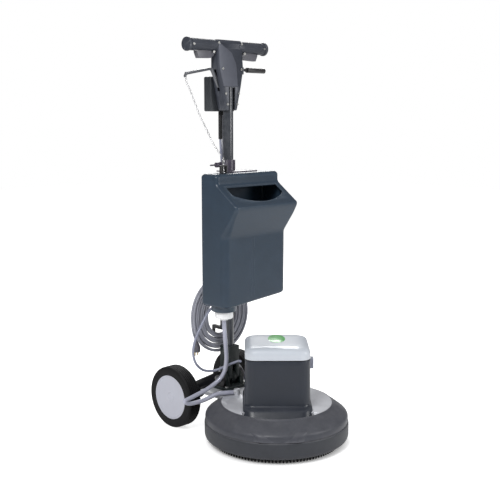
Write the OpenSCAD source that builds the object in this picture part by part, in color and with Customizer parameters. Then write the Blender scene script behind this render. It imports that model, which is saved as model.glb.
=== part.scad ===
// Single disc rotary floor scrubber with a solution tank on its pole.
// Millimetres, +Z up, -Y forwards, origin on the floor under the brush's axis.

/* [Deck] */
// Radius of the bumper band round the deck
deck_r = 225.5; // [210:0.5:260]
// Height of the cast plate's top face above the floor
plate_top = 125; // [118:1:140]
// Thickness of the cast plate
plate_t = 12; // [8:1:16]
// Radius of the plate, which fills the shroud's opening
plate_r = 172.5; // [160:0.5:185]
// Wall of the moulded covers
shell_t = 4; // [3:0.5:6]

/* [Brush] */
// Room between the bristle tips and the bumper's outside
brush_room = 24.5; // [20:0.5:45]
// Length of the bristles that stand out of the block
bristle_l = 40; // [30:1:44]
// Thickness of the brush block
block_t = 18; // [12:1:22]

/* [Gearbox] */
// Tooth module of the planetary gears
gear_m = 1; // [1:1:1]
// Teeth on the sun gear
sun_teeth = 14; // [14:1:14]
// Teeth on each planet gear
planet_teeth = 46; // [46:1:46]
// Face width of the gears
gear_w = 12; // [8:1:14]
// Radius of the planet pins
planet_pin_r = 5; // [4:0.5:7]

/* [Motor] */
// Width of the square motor cover
motor_w = 197; // [190:1:206]
// Height of the seam under the motor cap
motor_seam = 279; // [272:1:290]
// Height of the motor cap above its seam
cap_h = 38; // [30:1:44]
// Radius of the motor shaft
shaft_r = 8; // [6:0.5:10]
// Radius of the rotor core
rotor_r = 40.5; // [34:0.5:42]

/* [Wheels] */
// Radius of the wheels
wheel_r = 100; // [90:1:106]
// Width of a tyre
tyre_w = 48; // [40:1:54]
// Radius of the hub disc
hub_r = 72; // [60:1:80]
// Radius of the wheel axle
axle_r = 10; // [8:0.5:14]
// Distance from the deck's rim back to the axle
axle_back = 94.5; // [85:0.5:114]
// Outer face of each wheel, from the centre plane
wheel_out = 165; // [150:1:180]

/* [Pole] */
// Radius of the pole tube
pole_r = 16; // [14:0.5:18]
// Wall of the pole tube
pole_wall = 2.5; // [1.5:0.5:3]
// Distance from the deck's centre back to the pole
pole_y = 213; // [211:1:216]
// Height of the pole's tilt pin
pivot_z = 160; // [158:1:164]
// Radius of the tilt pin
pivot_r = 8; // [6:0.5:10]

/* [Head] */
// Height of the handle bar's centre line
bar_z = 1219; // [1200:1:1250]
// Half length of the handle bar
bar_half = 168.5; // [160:0.5:190]
// Radius of the hand grips
grip_r = 18.5; // [17:0.5:20]
// Length of the head from the bar's axis down
head_h = 196; // [190:1:204]

/* [Tank] */
// Half width of the tank
tank_half = 138; // [125:1:150]
// Top of the tank
tank_top = 832; // [815:1:850]
// Front of the tank's lower part
tank_front = 85; // [75:1:95]
// Front edge of the filling lip
lip_y = 36; // [28:1:50]
// Wall of the tank
tank_t = 4.5; // [3:0.5:6]
// Radius of the outlet fitting
outlet_r = 28.5; // [24:0.5:32]

/* [Cords] */
// Diameter of the mains cable
mains_d = 9; // [8:0.5:11]
// Diameter of the motor cable
motor_d = 8; // [6:0.5:10]
// Diameter of the water hose
hose_d = 14; // [12:0.5:16]

/* [Hidden] */
$fn = 64;

// Running clearance of a shaft in its bore, and the gap between moulded pieces
run_gap = 0.05;
gap = 0.4;

// The motor cover and the shroud's front lobe stand turned on the deck
motor_turn = 135;

// Deck
plate_low = plate_top - plate_t;
tongue_half = 92;
tongue_back = 252;
notch_half = motor_w / 2 + 9;
notch_y = 113;
shroud_r = deck_r - 2.5;
band_top = 68.5;
band_low = 18;
band_in = deck_r - 8.5;
inlet = [-45, 131, plate_top + 9];
inlet_turn = 153.4;
shoulder_r = deck_r - 7.5;
shoulder_z = plate_top - 32;

// Brush and drive, from the tips up
brush_r = deck_r - brush_room;
block_low = bristle_l;
block_top = block_low + block_t;
drive_t = 8;
hub_out_r = 12;

// Gearbox, hung under the plate
planets = 3;
ring_teeth = sun_teeth + 2 * planet_teeth;
centre_d = gear_m * (sun_teeth + planet_teeth) / 2;
ring_out = gear_m * ring_teeth / 2 + 3;
case_t = 5;
case_low = plate_low - 37;
floor_t = 4;
bearing_h = 10;
bearing_r = 21;
carrier_low = case_low + bearing_h + 1;
carrier_t = 4;
gear_low = carrier_low + carrier_t + 1;
tooth_gap = 0.3;

// Motor, from the plate up
seat_r = 17;
seat_h = 12;
sun_shaft_r = 4.5;
stator_low = plate_top + 35;
stator_h = 68;
stator_r = 72;
frame_wall = 6;
frame_top = plate_top + 127;
winding_h = 18;
fan_low = frame_top + 14;

// Wheels
axle_y = deck_r + axle_back;
wheel_in = wheel_out - tyre_w;
arm_in = 36;
arm_out = 46;

// Foot, tilt brake and yoke
cheek_in = 23;
cheek_out = arm_in;
flange_t = 10;
drum_r = 26;
drum_half = 9;
yoke_half = 22;
yoke_front = pole_y - 25;
yoke_back = pole_y + 19;
yoke_top = 265;
slot_top = pivot_z + drum_r + 18;
pole_low = slot_top + 2;
pole_high = bar_z - 79;
rod_r = 4;

// Head
head_low = bar_z - head_h;
split_y = pole_y + 5;
bar_y = pole_y + 6;
head_half = 54;
head_wall = 3.5;
flange_r = 21;
lever_z = bar_z - 121;
lever_x = -38;
adjust_x = 44;
adjust_z = bar_z - 69;
trigger_x = 66;
trigger_z = bar_z - 19;
trigger_half = 7.5;
box_y = pole_y + 23;
box_half = 52;
box_depth = 34;
box_top = bar_z - 92;
box_low = head_low - 3;

// Tank
tank_back = pole_y - pole_r - 2;
header_y = 121;
header_low = 798;
lip_z = 741;
crease_z = 644;
tank_low = 422;
bottom_rise = 19;
mouth_half = 112;
mouth_curve = 238;
valve_x = -87;
valve_y = 145;
sump_r = 39;
sump_low = 403;
outlet_low = 375;
bore_r = 8;
bridge_z = tank_top + 22;
washer_z = tank_top + 2;

// Cord hank on its hooks
hank_half = 128;
hank_in = 57;
hank_low_z = 360;
hank_high_z = 364;
hook_z = hank_high_z + 35;
hank_y = pole_y + pole_r + 14;
hank_t = 18;

// Cord routes, as they lie
// How far the cables behind the pole move with its back
back = pole_y + pole_r - 229;
motor_route = [
    [0, 249 + back, box_low], [0, 249 + back, box_low - 80], [0, 243 + back, 860], [0, 237 + back, 800],
    [0, 237 + back, 480], [-7, 236 + back, 442], [-23, 235 + back, 421], [-44, 232 + back, 401], [-76, 230, 383], [-112, 230, 336], [-133, 230, 301], [-142, 230, 264],
    [-132, 229, 226], [-102, 226, 198], [-66, 212, 192], [-46, 186, 206], [-50, 145, 227],
    [-62, 108, 243], [-79.9, 79.9, 252]
];
hose_route = [
    [-87, 145, 375], [-87, 145, 362], [-80, 147, 305], [-68, 155, 235], [-76, 166, 186],
    [-118, 181, 153], [-176, 194, 134], [-206, 199, 125], [-188, 195, 114], [-144, 182, 117],
    [-104, 161, 133], [-74, 145.5, 135], [-56.7, 136.8, 134]
];
mains_route = [
    [17, 252 + back, box_low], [17, 252 + back, 900], [18, 252 + back, 780], [18, 252 + back, 600],
    [20, 252 + back, 490.6]
];
tail_route = [
    [-100, 261 + back, 358], [-100, 267 + back, 357], [-99, 272 + back, 350], [-95, 274 + back, 330],
    [-90, 275 + back, 305], [-88, 275 + back, 282]
];
chain_route = [
    [-173, 215, 1120], [-172, 213, 1104], [-165, 208, 1086], [-156, 203, 1060], [-139, 194, 1010],
    [-123, 178, 962], [-111, 163, 922], [-96, 149, 891]
];
chain_d = 5;

// ---------- helpers ----------

function unit(v) = v / norm(v);

// A smooth curve through the points, with the given steps between two of them
function bend(a, b, c, d, t) =
    0.5 * (2 * b + (c - a) * t + (2 * a - 5 * b + 4 * c - d) * t * t + (3 * b - a - 3 * c + d) * t * t * t);
function smooth(p, steps) = let (last = len(p) - 1) concat(
    [for (i = [0:last - 1]) for (k = [0:steps - 1])
        bend(p[max(i - 1, 0)], p[i], p[i + 1], p[min(i + 2, last)], k / steps)],
    [p[last]]
);
function tangents(p) = let (last = len(p) - 1)
    [for (i = [0:last]) unit(p[min(i + 1, last)] - p[max(i - 1, 0)])];
function sides(t, i, u) = i == len(t) ? [] :
    let (v = unit(u - t[i] * (u * t[i]))) concat([v], sides(t, i + 1, v));

// A round tube of n sides swept along the points
module tube(p, d, n = 8) {
    t = tangents(p);
    u = sides(t, 0, abs(t[0].z) > 0.9 ? [1, 0, 0] : [0, 0, 1]);
    rings = [for (i = [0:len(p) - 1]) for (k = [0:n - 1])
        p[i] + d / 2 * (cos(360 * k / n) * u[i] + sin(360 * k / n) * cross(t[i], u[i]))];
    walls = [for (i = [0:len(p) - 2]) for (k = [0:n - 1])
        [i * n + k, i * n + (k + 1) % n, (i + 1) * n + (k + 1) % n, (i + 1) * n + k]];
    ends = [[for (k = [n - 1:-1:0]) k], [for (k = [0:n - 1]) (len(p) - 1) * n + k]];
    polyhedron(rings, [for (f = concat(walls, ends)) [for (k = [len(f) - 1:-1:0]) f[k]]]);
}

// A cylinder along X, from x0 to x1
module rod_x(x0, x1, r) translate([x0, 0, 0]) rotate([0, 90, 0]) cylinder(r = r, h = x1 - x0);

// A cylinder along Y, from y0 to y1
module rod_y(y0, y1, r) translate([0, y0, 0]) rotate([-90, 0, 0]) cylinder(r = r, h = y1 - y0);

// A box between two corners
module box(a, b) translate(a) cube(b - a);

// A ring standing on z = 0
module ring(r_out, r_in, h) difference() {
    cylinder(r = r_out, h = h);
    translate([0, 0, -1]) cylinder(r = r_in, h = h + 2);
}

// A flat plate with round corners: half width, back, front, corner radius, height
module plaque(half, back, front, r, h) linear_extrude(h) {
    translate([-half + r, back]) square([2 * (half - r), front - back]);
    translate([-half, back + r]) square([2 * half, front - back - 2 * r]);
    for (x = [-1, 1], y = [back + r, front - r]) translate([x * (half - r), y]) circle(r, $fn = 32);
}

// The outline of a gear with straight-sided teeth: grow is added to both flanks
function gear_points(teeth, tip, root, grow) = let (
    r = gear_m * teeth / 2,
    w = gear_m * PI / 4 + grow,
    slope = tan(20)
) [for (i = [0:teeth - 1], k = [0:3]) let (
    high = k == 1 || k == 2,
    rad = high ? r + tip : r - root,
    half = high ? w - tip * slope : w + root * slope,
    a = 360 * i / teeth + (k < 2 ? -1 : 1) * half / rad * 180 / PI
) rad * [cos(a), sin(a)]];

module gear(teeth, bore, turn) rotate(turn) difference() {
    linear_extrude(gear_w) polygon(gear_points(teeth, 0.8 * gear_m, 1.1 * gear_m, -tooth_gap / 2));
    translate([0, 0, -1]) cylinder(r = bore, h = gear_w + 2);
}

// ---------- deck ----------

module base_plate() color("silver") difference() {
    union() {
        translate([0, 0, plate_low]) cylinder(r = plate_r, h = plate_t, $fn = 96);
        box([-tongue_half, 60, plate_low], [tongue_half, tongue_back, plate_top]);
        translate([0, 0, plate_top]) cylinder(r = seat_r + 8, h = seat_h);
        translate([inlet.x, inlet.y, plate_top]) cylinder(r = 9, h = inlet.z + 10 - plate_top);
        translate(inlet) rotate([0, 0, inlet_turn]) rod_x(0, 11.5, 7);
    }
    translate([inlet.x, inlet.y, plate_low - 1]) cylinder(r = 3, h = inlet.z - plate_low + 1);
    translate(inlet) rotate([0, 0, inlet_turn]) rod_x(0, 13, 4);
    translate([0, 0, plate_top]) cylinder(r = seat_r, h = seat_h + 1);
    translate([0, 0, plate_low - 1]) cylinder(r = shaft_r + 2, h = plate_t + 2);
    rotate(motor_turn) box([-notch_half, notch_y, 0], [notch_half, 300, plate_top + 1]);
}

// The shroud's dome, side and inner flange as one section
module shroud_section() polygon([
    [plate_r - 20, plate_low - 4], [plate_r + 4, plate_low - 4], [plate_r + 7, plate_low + 1],
    [plate_r + 17, plate_low - 5], [plate_r + 32, plate_low - 16], [shoulder_r - 5, shoulder_z - 4],
    [shroud_r - shell_t, shoulder_z - 10], [shroud_r - shell_t, band_top + 4],
    [band_in - shell_t, band_top - 2], [band_in - shell_t, band_low + 6], [band_in, band_low + 6],
    [band_in, band_top + 0.3], [shroud_r, band_top + 0.3], [shroud_r, shoulder_z - 9],
    [shroud_r - 1.5, shoulder_z - 4], [shoulder_r, shoulder_z], [plate_r + 32, plate_top - 22],
    [plate_r + 17, plate_top - 10.5], [plate_r + 7, plate_top - 4], [plate_r + 2, plate_top],
    [plate_r + 0.5, plate_top], [plate_r + 0.5, plate_low], [plate_r - 20, plate_low]
]);

// The raised lobe under the front of the motor cover, narrower towards its foot
module lobe() intersection() {
    rotate_extrude($fn = 96) polygon([
        [120, plate_low - 14.7], [203, plate_low - 14.7], [shoulder_r - 2, shoulder_z + 1],
        [shroud_r - 0.6 - shell_t, shoulder_z - 8], [shroud_r - 0.6 - shell_t, band_top + 4],
        [shroud_r - 0.6, band_top + 4], [shroud_r - 0.6, shoulder_z - 6],
        [shoulder_r + 1.5, shoulder_z + 4.5], [206.5, plate_low - 10.7], [120, plate_low - 10.7]
    ]);
    translate([0, 300, 0]) rotate([90, 0, 0]) linear_extrude(298 - notch_y) polygon([
        [-84, band_top], [84, band_top], [notch_half - 2, plate_low - 9], [2 - notch_half, plate_low - 9]
    ]);
}

module shroud() color("#4b4d55") difference() {
    union() {
        rotate_extrude($fn = 96) shroud_section();
        rotate(motor_turn) lobe();
    }
    box([-tongue_half - 2, 60, plate_low - 6], [tongue_half + 2, 300, plate_top + 1]);
    rotate(motor_turn) box([-notch_half, notch_y, plate_low - 9], [notch_half, 300, plate_top + 1]);
}

module bumper_band() color("#3f4148") rotate_extrude($fn = 96) polygon([
    [band_in, band_low], [deck_r - 5, band_low], [deck_r - 2, band_low + 2.5], [deck_r, band_low + 8],
    [deck_r, band_top - 3], [deck_r - 1.5, band_top], [band_in, band_top]
]);

// The motor cover's outside, drawn in by the given wall
module cover_form(wall) {
    hull() {
        translate([0, 0, motor_seam - 1]) plaque(motor_w / 2 - wall, -motor_w / 2 + wall,
            motor_w / 2 - wall, 30 - wall, 1);
        translate([0, 0, plate_top]) plaque(motor_w / 2 + 2 - wall, -motor_w / 2 - 2 + wall,
            motor_w / 2 + 2 - wall, 30 - wall, 1);
    }
    hull() {
        translate([0, 0, plate_top + 9 - wall]) plaque(motor_w / 2 + 6 - wall, -motor_w / 2 - 9 + wall,
            motor_w / 2 + 25 - wall, 32 - wall, 1);
        translate([0, 0, plate_top - 20 - wall]) plaque(notch_half - 1 - wall,
            -motor_w / 2 - 10 + wall, motor_w / 2 + 46 - wall, 32 - wall, 1);
    }
}

module motor_cover() color("#383c45") rotate(motor_turn) difference() {
    cover_form(0);
    cover_form(shell_t);
    translate([0, 0, motor_seam - 10]) plaque(motor_w / 2 - shell_t, -motor_w / 2 + shell_t,
        motor_w / 2 - shell_t, 26, 20);
    box([-200, -200, 0], [200, notch_y + 2, plate_top + 0.2]);
    box([-200, 0, 0], [200, 300, plate_low - 7.5]);
}

module motor_cap() color("#c3c8d0") rotate(motor_turn) {
    difference() {
        hull() {
            translate([0, 0, motor_seam + 2]) plaque(motor_w / 2 + 1, -motor_w / 2 - 1,
                motor_w / 2 + 1, 32, 12);
            translate([0, 0, motor_seam + cap_h - 6]) plaque(motor_w / 2 - 4, -motor_w / 2 + 4,
                motor_w / 2 - 4, 30, 1);
            translate([0, 0, motor_seam + cap_h - 1]) plaque(motor_w / 2 - 13, -motor_w / 2 + 13,
                motor_w / 2 - 13, 26, 1);
        }
        hull() {
            translate([0, 0, motor_seam + 1]) plaque(motor_w / 2 - 5, -motor_w / 2 + 5,
                motor_w / 2 - 5, 28, 13);
            translate([0, 0, motor_seam + cap_h - 6]) plaque(motor_w / 2 - 18, -motor_w / 2 + 18,
                motor_w / 2 - 18, 24, 1);
        }
    }
    difference() {
        translate([0, 0, motor_seam - 9]) plaque(motor_w / 2 - shell_t - gap, -motor_w / 2 + shell_t + gap,
            motor_w / 2 - shell_t - gap, 26, 14);
        translate([0, 0, motor_seam - 10]) plaque(motor_w / 2 - 8, -motor_w / 2 + 8,
            motor_w / 2 - 8, 22, 16);
    }
}

module motor_frame() color("dimgray") {
    translate([0, 0, plate_top]) ring(stator_r + frame_wall + 12, seat_r + 8, 6);
    translate([0, 0, plate_top + 6]) ring(stator_r + frame_wall, stator_r, frame_top - plate_top - 6);
}

// The laminated core with the ends of its windings above and below
module stator() {
    color("gray") translate([0, 0, stator_low]) ring(stator_r, rotor_r + 0.5, stator_h);
    color("peru") for (z = [stator_low - winding_h, stator_low + stator_h])
        translate([0, 0, z]) ring(stator_r - 4, rotor_r + 5, winding_h);
}

module end_shield() color("lightgray") translate([0, 0, frame_top]) {
    ring(stator_r + frame_wall, seat_r, 6);
    translate([0, 0, 6]) ring(seat_r + 6, seat_r, 4);
}

// Two bearings on the motor shaft and one under the gears
module bearings() color("whitesmoke") {
    for (z = [plate_top + 1, frame_top]) translate([0, 0, z]) ring(seat_r, shaft_r + run_gap, 10);
    translate([0, 0, case_low]) ring(bearing_r, hub_out_r + run_gap, bearing_h);
}

module capacitor() color("#2b2b2e") rotate(motor_turn) translate([70, -70, plate_top + 8])
    cylinder(r = 17, h = 95);

module cable_gland() color("#aab0c0") rotate(motor_turn)
    translate([-motor_w / 2 - 15, 0, motor_seam - 27]) difference() {
        union() {
            box([0, -12, -20], [14.2, 12, 12]);
            rod_x(-0.5, 0, motor_d / 2 + 2.5);
        }
        rod_x(3, 30, 3);
    }

module gearbox_case() color("#8d9096") translate([0, 0, case_low]) {
    difference() {
        cylinder(r = ring_out + case_t, h = plate_low - case_low);
        translate([0, 0, floor_t]) cylinder(r = ring_out, h = 40);
        translate([0, 0, -1]) cylinder(r = bearing_r, h = floor_t + 2);
    }
    translate([0, 0, floor_t]) ring(bearing_r + 5, bearing_r, bearing_h - floor_t);
}

module ring_gear() color("slategray") translate([0, 0, gear_low]) linear_extrude(gear_w) difference() {
    circle(ring_out, $fn = 180);
    rotate(180 / ring_teeth) polygon(gear_points(ring_teeth, 1.1 * gear_m, 0.8 * gear_m, tooth_gap / 2));
}

// Side view of a plate that runs from the tilt pin back to the axle
module arm_side() {
    translate([pole_y, pivot_z]) circle(24);
    translate([axle_y, wheel_r]) circle(28);
    polygon([
        [pole_y + 9, pivot_z + 22], [pole_y - 23, pivot_z - 7], [pole_y - 18, plate_top],
        [tongue_back, plate_top], [axle_y - 14, wheel_r - 24], [axle_y + 10, wheel_r + 26]
    ]);
}

// A side view, with Y to the right, as a plate between two X values
module slab_x(x0, x1) translate([x0, 0, 0]) rotate([90, 0, 90]) linear_extrude(x1 - x0) children();

module foot_bracket() color("#1d2624") difference() {
    union() {
        box([-50, 172, plate_top], [50, 250, plate_top + flange_t]);
        for (s = [-1, 1]) mirror([s < 0 ? 1 : 0, 0, 0]) slab_x(cheek_in, cheek_out - 0.2) {
            translate([pole_y, pivot_z]) circle(24);
            polygon([[pole_y - 33, plate_top + flange_t], [pole_y - 20, pivot_z + 13],
                [pole_y + 20, pivot_z + 13], [pole_y + 33, plate_top + flange_t]]);
        }
        translate([0, pole_y, pivot_z]) rod_x(-drum_half, drum_half, drum_r);
        box([-drum_half, pole_y - 18, plate_top], [drum_half, pole_y + 18, pivot_z]);
    }
    translate([0, pole_y, pivot_z]) rod_x(-60, 60, pivot_r);
}

module pivot_pin() color("lightgray") translate([0, pole_y, pivot_z]) {
    rod_x(-arm_out - 1, arm_out + 1, pivot_r);
    for (x = [-arm_out - 6, arm_out + 1]) rod_x(x, x + 5, pivot_r + 5);
}

module axle_arms() color("#1b1d20") difference() {
    union() {
        for (s = [-1, 1]) mirror([s < 0 ? 1 : 0, 0, 0]) slab_x(arm_in, arm_out) arm_side();
        translate([0, axle_y, wheel_r]) for (s = [-1, 1])
            rod_x(s > 0 ? arm_out : 6 - wheel_in, s > 0 ? wheel_in - 6 : -arm_out, axle_r + 6);
        translate([0, axle_y - 34, wheel_r]) box([-arm_in, 0, -6], [arm_in, 12, 18]);
    }
    translate([0, axle_y, wheel_r]) rod_x(-200, 200, axle_r);
    translate([0, pole_y, pivot_z]) rod_x(-60, 60, pivot_r);
    box([-60, 150, plate_top - 60], [60, tongue_back + 0.5, plate_top + flange_t]);
}

module wheel_axle() color("lightgray") translate([0, axle_y, wheel_r])
    rod_x(-wheel_out + 6, wheel_out - 6, axle_r);

module deck_bolts() color("lightgray") {
    for (p = [[-42, 181], [42, 181], [-16, 243], [16, 243]]) translate([p.x, p.y, plate_top + flange_t])
        cylinder(r = 6, h = 5, $fn = 6);
    for (a = [10, 40, 140, 170, 285, 325]) rotate(a) translate([plate_r - 12, 0, plate_low - 8])
        cylinder(r = 4, h = 4);
}

// ---------- brush and drive ----------

module planet_carrier() color("lightslategray") {
    translate([0, 0, block_top]) cylinder(r = hub_out_r, h = carrier_low - block_top);
    translate([0, 0, carrier_low]) cylinder(r = ring_out - 12, h = carrier_t);
    for (k = [0:planets - 1]) rotate(90 + 360 * k / planets) translate([centre_d, 0, carrier_low])
        cylinder(r = planet_pin_r, h = carrier_t + gear_w + 3);
}

module drive_plate() color("#55585e") translate([0, 0, block_top]) ring(110, hub_out_r, drive_t);

module brush_block() color("#22252a") translate([0, 0, block_low]) ring(brush_r - 7, 30, block_t);

module bristles() color("black") difference() {
    cylinder(r1 = brush_r, r2 = brush_r - 9, h = bristle_l, $fn = 96);
    translate([0, 0, -1]) cylinder(r = 60, h = bristle_l + 2);
}

module motor_shaft() color("silver") {
    translate([0, 0, gear_low - 1]) cylinder(r = sun_shaft_r, h = plate_low - gear_low);
    translate([0, 0, plate_low - 1]) cylinder(r = shaft_r, h = fan_low - plate_low - 3);
    translate([0, 0, fan_low - 4]) cylinder(r = shaft_r - 2, h = 18);
}

module sun_gear() color("darkslategray") translate([0, 0, gear_low]) gear(sun_teeth, sun_shaft_r, 0);

module rotor_core() color("gray") translate([0, 0, stator_low]) ring(rotor_r, shaft_r, stator_h);

module cooling_fan() color("#4a4a4a") translate([0, 0, fan_low]) {
    ring(14, shaft_r - 2, 12);
    translate([0, 0, 0]) ring(60, 13.5, 2);
    for (a = [0:40:320]) rotate(a) box([20, -1.2, 1.5], [58, 1.2, 10]);
}

// One planet, turned so that its teeth sit in the sun's and the ring's
module planet(k) {
    place = 90 + 360 * k / planets;
    sun_step = 360 / sun_teeth;
    turn = place + 180 - 360 / planet_teeth * (0.5 - place / sun_step);
    color("slategray") translate([centre_d * cos(place), centre_d * sin(place), gear_low])
        gear(planet_teeth, planet_pin_r + run_gap, turn);
}
module planet_gear_1() planet(0);
module planet_gear_2() planet(1);
module planet_gear_3() planet(2);

// ---------- wheels ----------

// One tyre with grooves round its tread, centred on its axis, outer face at x = 0
module tyre() rotate([0, -90, 0]) rotate_extrude($fn = 96) polygon(concat(
    [[hub_r, 0], [wheel_r - 5, 0], [wheel_r - 1, 2], [wheel_r, 5]],
    [for (k = [0:3]) for (p = [[0, 0], [-3, 0.5], [-3, 2.5], [0, 3]]) [wheel_r + p.x, 9 + 9 * k + p.y]],
    [[wheel_r, tyre_w - 5], [wheel_r - 1, tyre_w - 2], [wheel_r - 5, tyre_w], [hub_r, tyre_w]]
));

module hub() rotate([0, -90, 0]) difference() {
    union() {
        cylinder(r = hub_r, h = 4);
        ring(hub_r, hub_r - 6, tyre_w - 3);
        cylinder(r = axle_r + 10, h = tyre_w - 2);
        translate([0, 0, tyre_w / 2]) cylinder(r = hub_r - 3, h = 4);
    }
    translate([0, 0, 5]) cylinder(r = axle_r + run_gap, h = tyre_w);
}

module at_wheel(s) translate([s * wheel_out, axle_y, wheel_r]) mirror([s < 0 ? 1 : 0, 0, 0]) children();

module left_tyre() color("#2d2b30") at_wheel(-1) tyre();
module left_hub() color("#b4b6c1") at_wheel(-1) hub();
module right_tyre() color("#2d2b30") at_wheel(1) tyre();
module right_hub() color("#b4b6c1") at_wheel(1) hub();

// ---------- pole ----------

module pole_tube() color("#4a4f57") translate([0, pole_y, pole_low])
    ring(pole_r, pole_r - pole_wall, pole_high - pole_low);

module pole_yoke() color("#1d2624") difference() {
    union() {
        box([-yoke_half, yoke_front, pivot_z], [yoke_half, yoke_back, yoke_top]);
        translate([0, pole_y, pivot_z]) rod_x(-yoke_half, yoke_half, 22);
    }
    translate([0, pole_y, pole_low]) cylinder(r = pole_r, h = 100);
    translate([0, pole_y, slot_top - 1]) cylinder(r = pole_r - pole_wall, h = 10);
    box([-drum_half - gap, 150, 100], [drum_half + gap, 280, slot_top]);
    translate([0, pole_y, pivot_z]) rod_x(-60, 60, pivot_r + run_gap);
}

module brake_rod() color("gainsboro") {
    difference() {
        box([-7, pole_y - 10, pivot_z + 20], [7, pole_y + 10, slot_top - 6]);
        translate([0, pole_y, pivot_z]) rod_x(-20, 20, drum_r + 0.3);
    }
    translate([0, pole_y, slot_top - 6.5]) cylinder(r = rod_r, h = adjust_z + 14 - slot_top);
    translate([0, pole_y, adjust_z + 6]) cylinder(r = rod_r + 6, h = 5);
}

module cord_hooks() color("#17181a") difference() {
    hook_blanks();
    translate([0, pole_y, 250]) cylinder(r = pole_r, h = 400);
}

// The collars and arms before the pole's bore
module hook_blanks() {
    translate([0, pole_y, hook_z + 36]) ring(pole_r + 1.5, pole_r, 20);
    for (x = [-26, 14]) {
        box([x, pole_y + 8, hook_z], [x + 12, hank_y + hank_t + 7, hook_z + 12]);
        box([x, pole_y + 8, hook_z], [x + 12, pole_y + pole_r, hook_z + 56]);
        box([x, hank_y + hank_t + 3, hook_z], [x + 12, hank_y + hank_t + 7, hook_z + 50]);
    }
    translate([0, pole_y, 364]) ring(pole_r + 1.5, pole_r, 20);
    box([-24, pole_y + 10, 318], [-12, pole_y + pole_r, 384]);
    box([-24, pole_y + 10, 318], [-12, hank_y + hank_t + 7, 328]);
    box([-24, hank_y + hank_t + 3, 290], [-12, hank_y + hank_t + 7, 328]);
}

// ---------- tank ----------

// The tank's side view, drawn in by the given wall
function tank_side(w) = [
    [tank_back - w, tank_low - 60], [tank_back - w, tank_top - w], [header_y + 5 + w, tank_top - w],
    [header_y + w, tank_top - 5 - w], [header_y + w, header_low - 0.6 * w],
    [lip_y + 6 + 0.7 * w, lip_z - w], [lip_y + w, lip_z - 6 - 0.6 * w], [lip_y + 1 + w, lip_z - 14],
    [tank_front + w, crease_z - 0.3 * w], [tank_front + w, tank_low - 60]
];

module tank_form(w) difference() {
    intersection() {
        slab_x(-tank_half + w, tank_half - w) polygon(tank_side(w));
        translate([0, 0, 350]) linear_extrude(500) {
            translate([-tank_half + w, tank_front + 26 + w]) square([2 * (tank_half - w), 110 - 2 * w]);
            translate([-tank_half + 26 + w, 0]) square([2 * (tank_half - 26 - w), 200]);
            translate([-tank_half + w, lip_y + 12 + w]) square([2 * (tank_half - w), 100]);
            for (s = [-1, 1]) translate([s * (tank_half - 12 - w), lip_y + 12 + w]) circle(12);
            translate([-tank_half + 12 + w, lip_y + w]) square([2 * (tank_half - 12 - w), 40]);
        }
    }
    translate([-tank_half, 0, tank_low + w]) rotate([0, -atan(bottom_rise / (2 * tank_half)), 0])
        box([-40, 0, -200], [2 * tank_half + 40, 300, 0]);
}

module tank_shell() color("#3d4d5e") difference() {
    union() {
        difference() {
            tank_form(0);
            tank_form(tank_t);
        }
        translate([valve_x, valve_y, sump_low]) cylinder(r = sump_r, h = tank_low + 9 - sump_low);
    }
    translate([valve_x, valve_y, sump_low - 1]) cylinder(r = bore_r + 4, h = 60);
    translate([valve_x, valve_y, tank_top - 20]) cylinder(r = rod_r - 0.5, h = 40);
    translate([0, 0, lip_z - 20]) linear_extrude(90) intersection() {
        translate([-mouth_half, lip_y + 4]) square([2 * mouth_half, 114 - lip_y]);
        translate([0, lip_y + 15 + mouth_curve]) circle(mouth_curve);
    }
}

module tank_hanger() color("#4a4656") {
    translate([0, pole_y, tank_top + 4]) ring(pole_r + 6, pole_r, 33);
    difference() {
        box([-40, tank_back - 45, tank_top], [67, pole_y + 12, tank_top + 4]);
        translate([0, pole_y, tank_top - 1]) cylinder(r = pole_r, h = 10);
    }
    translate([0, pole_y, tank_top + 22]) difference() {
        rod_x(-36, -pole_r - 2, 9);
        rod_x(-40, -pole_r - 8, 4);
    }
    difference() {
        box([-20, tank_back, 560], [20, pole_y, 600]);
        translate([0, pole_y, 550]) cylinder(r = pole_r, h = 60);
    }
}

module clamp_knob() color("#2a2730") translate([0, pole_y, tank_top + 22]) {
    rod_x(-44, -pole_r - 9, 4 - run_gap);
    rod_x(-54, -44, 8);
    rod_x(-78, -54, 2.5);
}

module rod_guide() color("#141416") translate([valve_x, valve_y, tank_top]) {
    for (s = [-1, 1]) box([s > 0 ? 9 : -12, -5, 0], [s > 0 ? 12 : -9, 5, bridge_z + 3 - tank_top]);
    translate([0, 0, bridge_z - tank_top]) difference() {
        box([-12, -5, 0], [12, 5, 3]);
        translate([0, 0, -1]) cylinder(r = rod_r - 0.5, h = 5);
    }
}

module valve_spring() color("#26262a") translate([valve_x, valve_y, washer_z + 2])
    ring(7, 5, bridge_z - washer_z - 2.2);

module valve_rod() color("lightgray") translate([valve_x, valve_y, 0]) {
    translate([0, 0, sump_low + 34]) cylinder(r = 14, h = 10);
    translate([0, 0, sump_low + 40]) cylinder(r = 3, h = bridge_z + 10 - sump_low - 40);
    translate([0, 0, washer_z]) cylinder(r = 7, h = 2);
    translate([0, 0, bridge_z + 18]) rotate([90, 0, 60]) translate([0, 0, -1.5]) ring(10.5, 7, 3);
}

module outlet_fitting() color("white") translate([valve_x, valve_y, outlet_low]) difference() {
    union() {
        cylinder(r = outlet_r, h = sump_low - outlet_low);
        cylinder(r = bore_r + 4, h = sump_low + 33 - outlet_low);
    }
    translate([0, 0, 10]) cylinder(r = bore_r, h = 90);
    translate([0, 0, -1]) cylinder(r = 5, h = 20);
}

// ---------- head ----------

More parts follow.
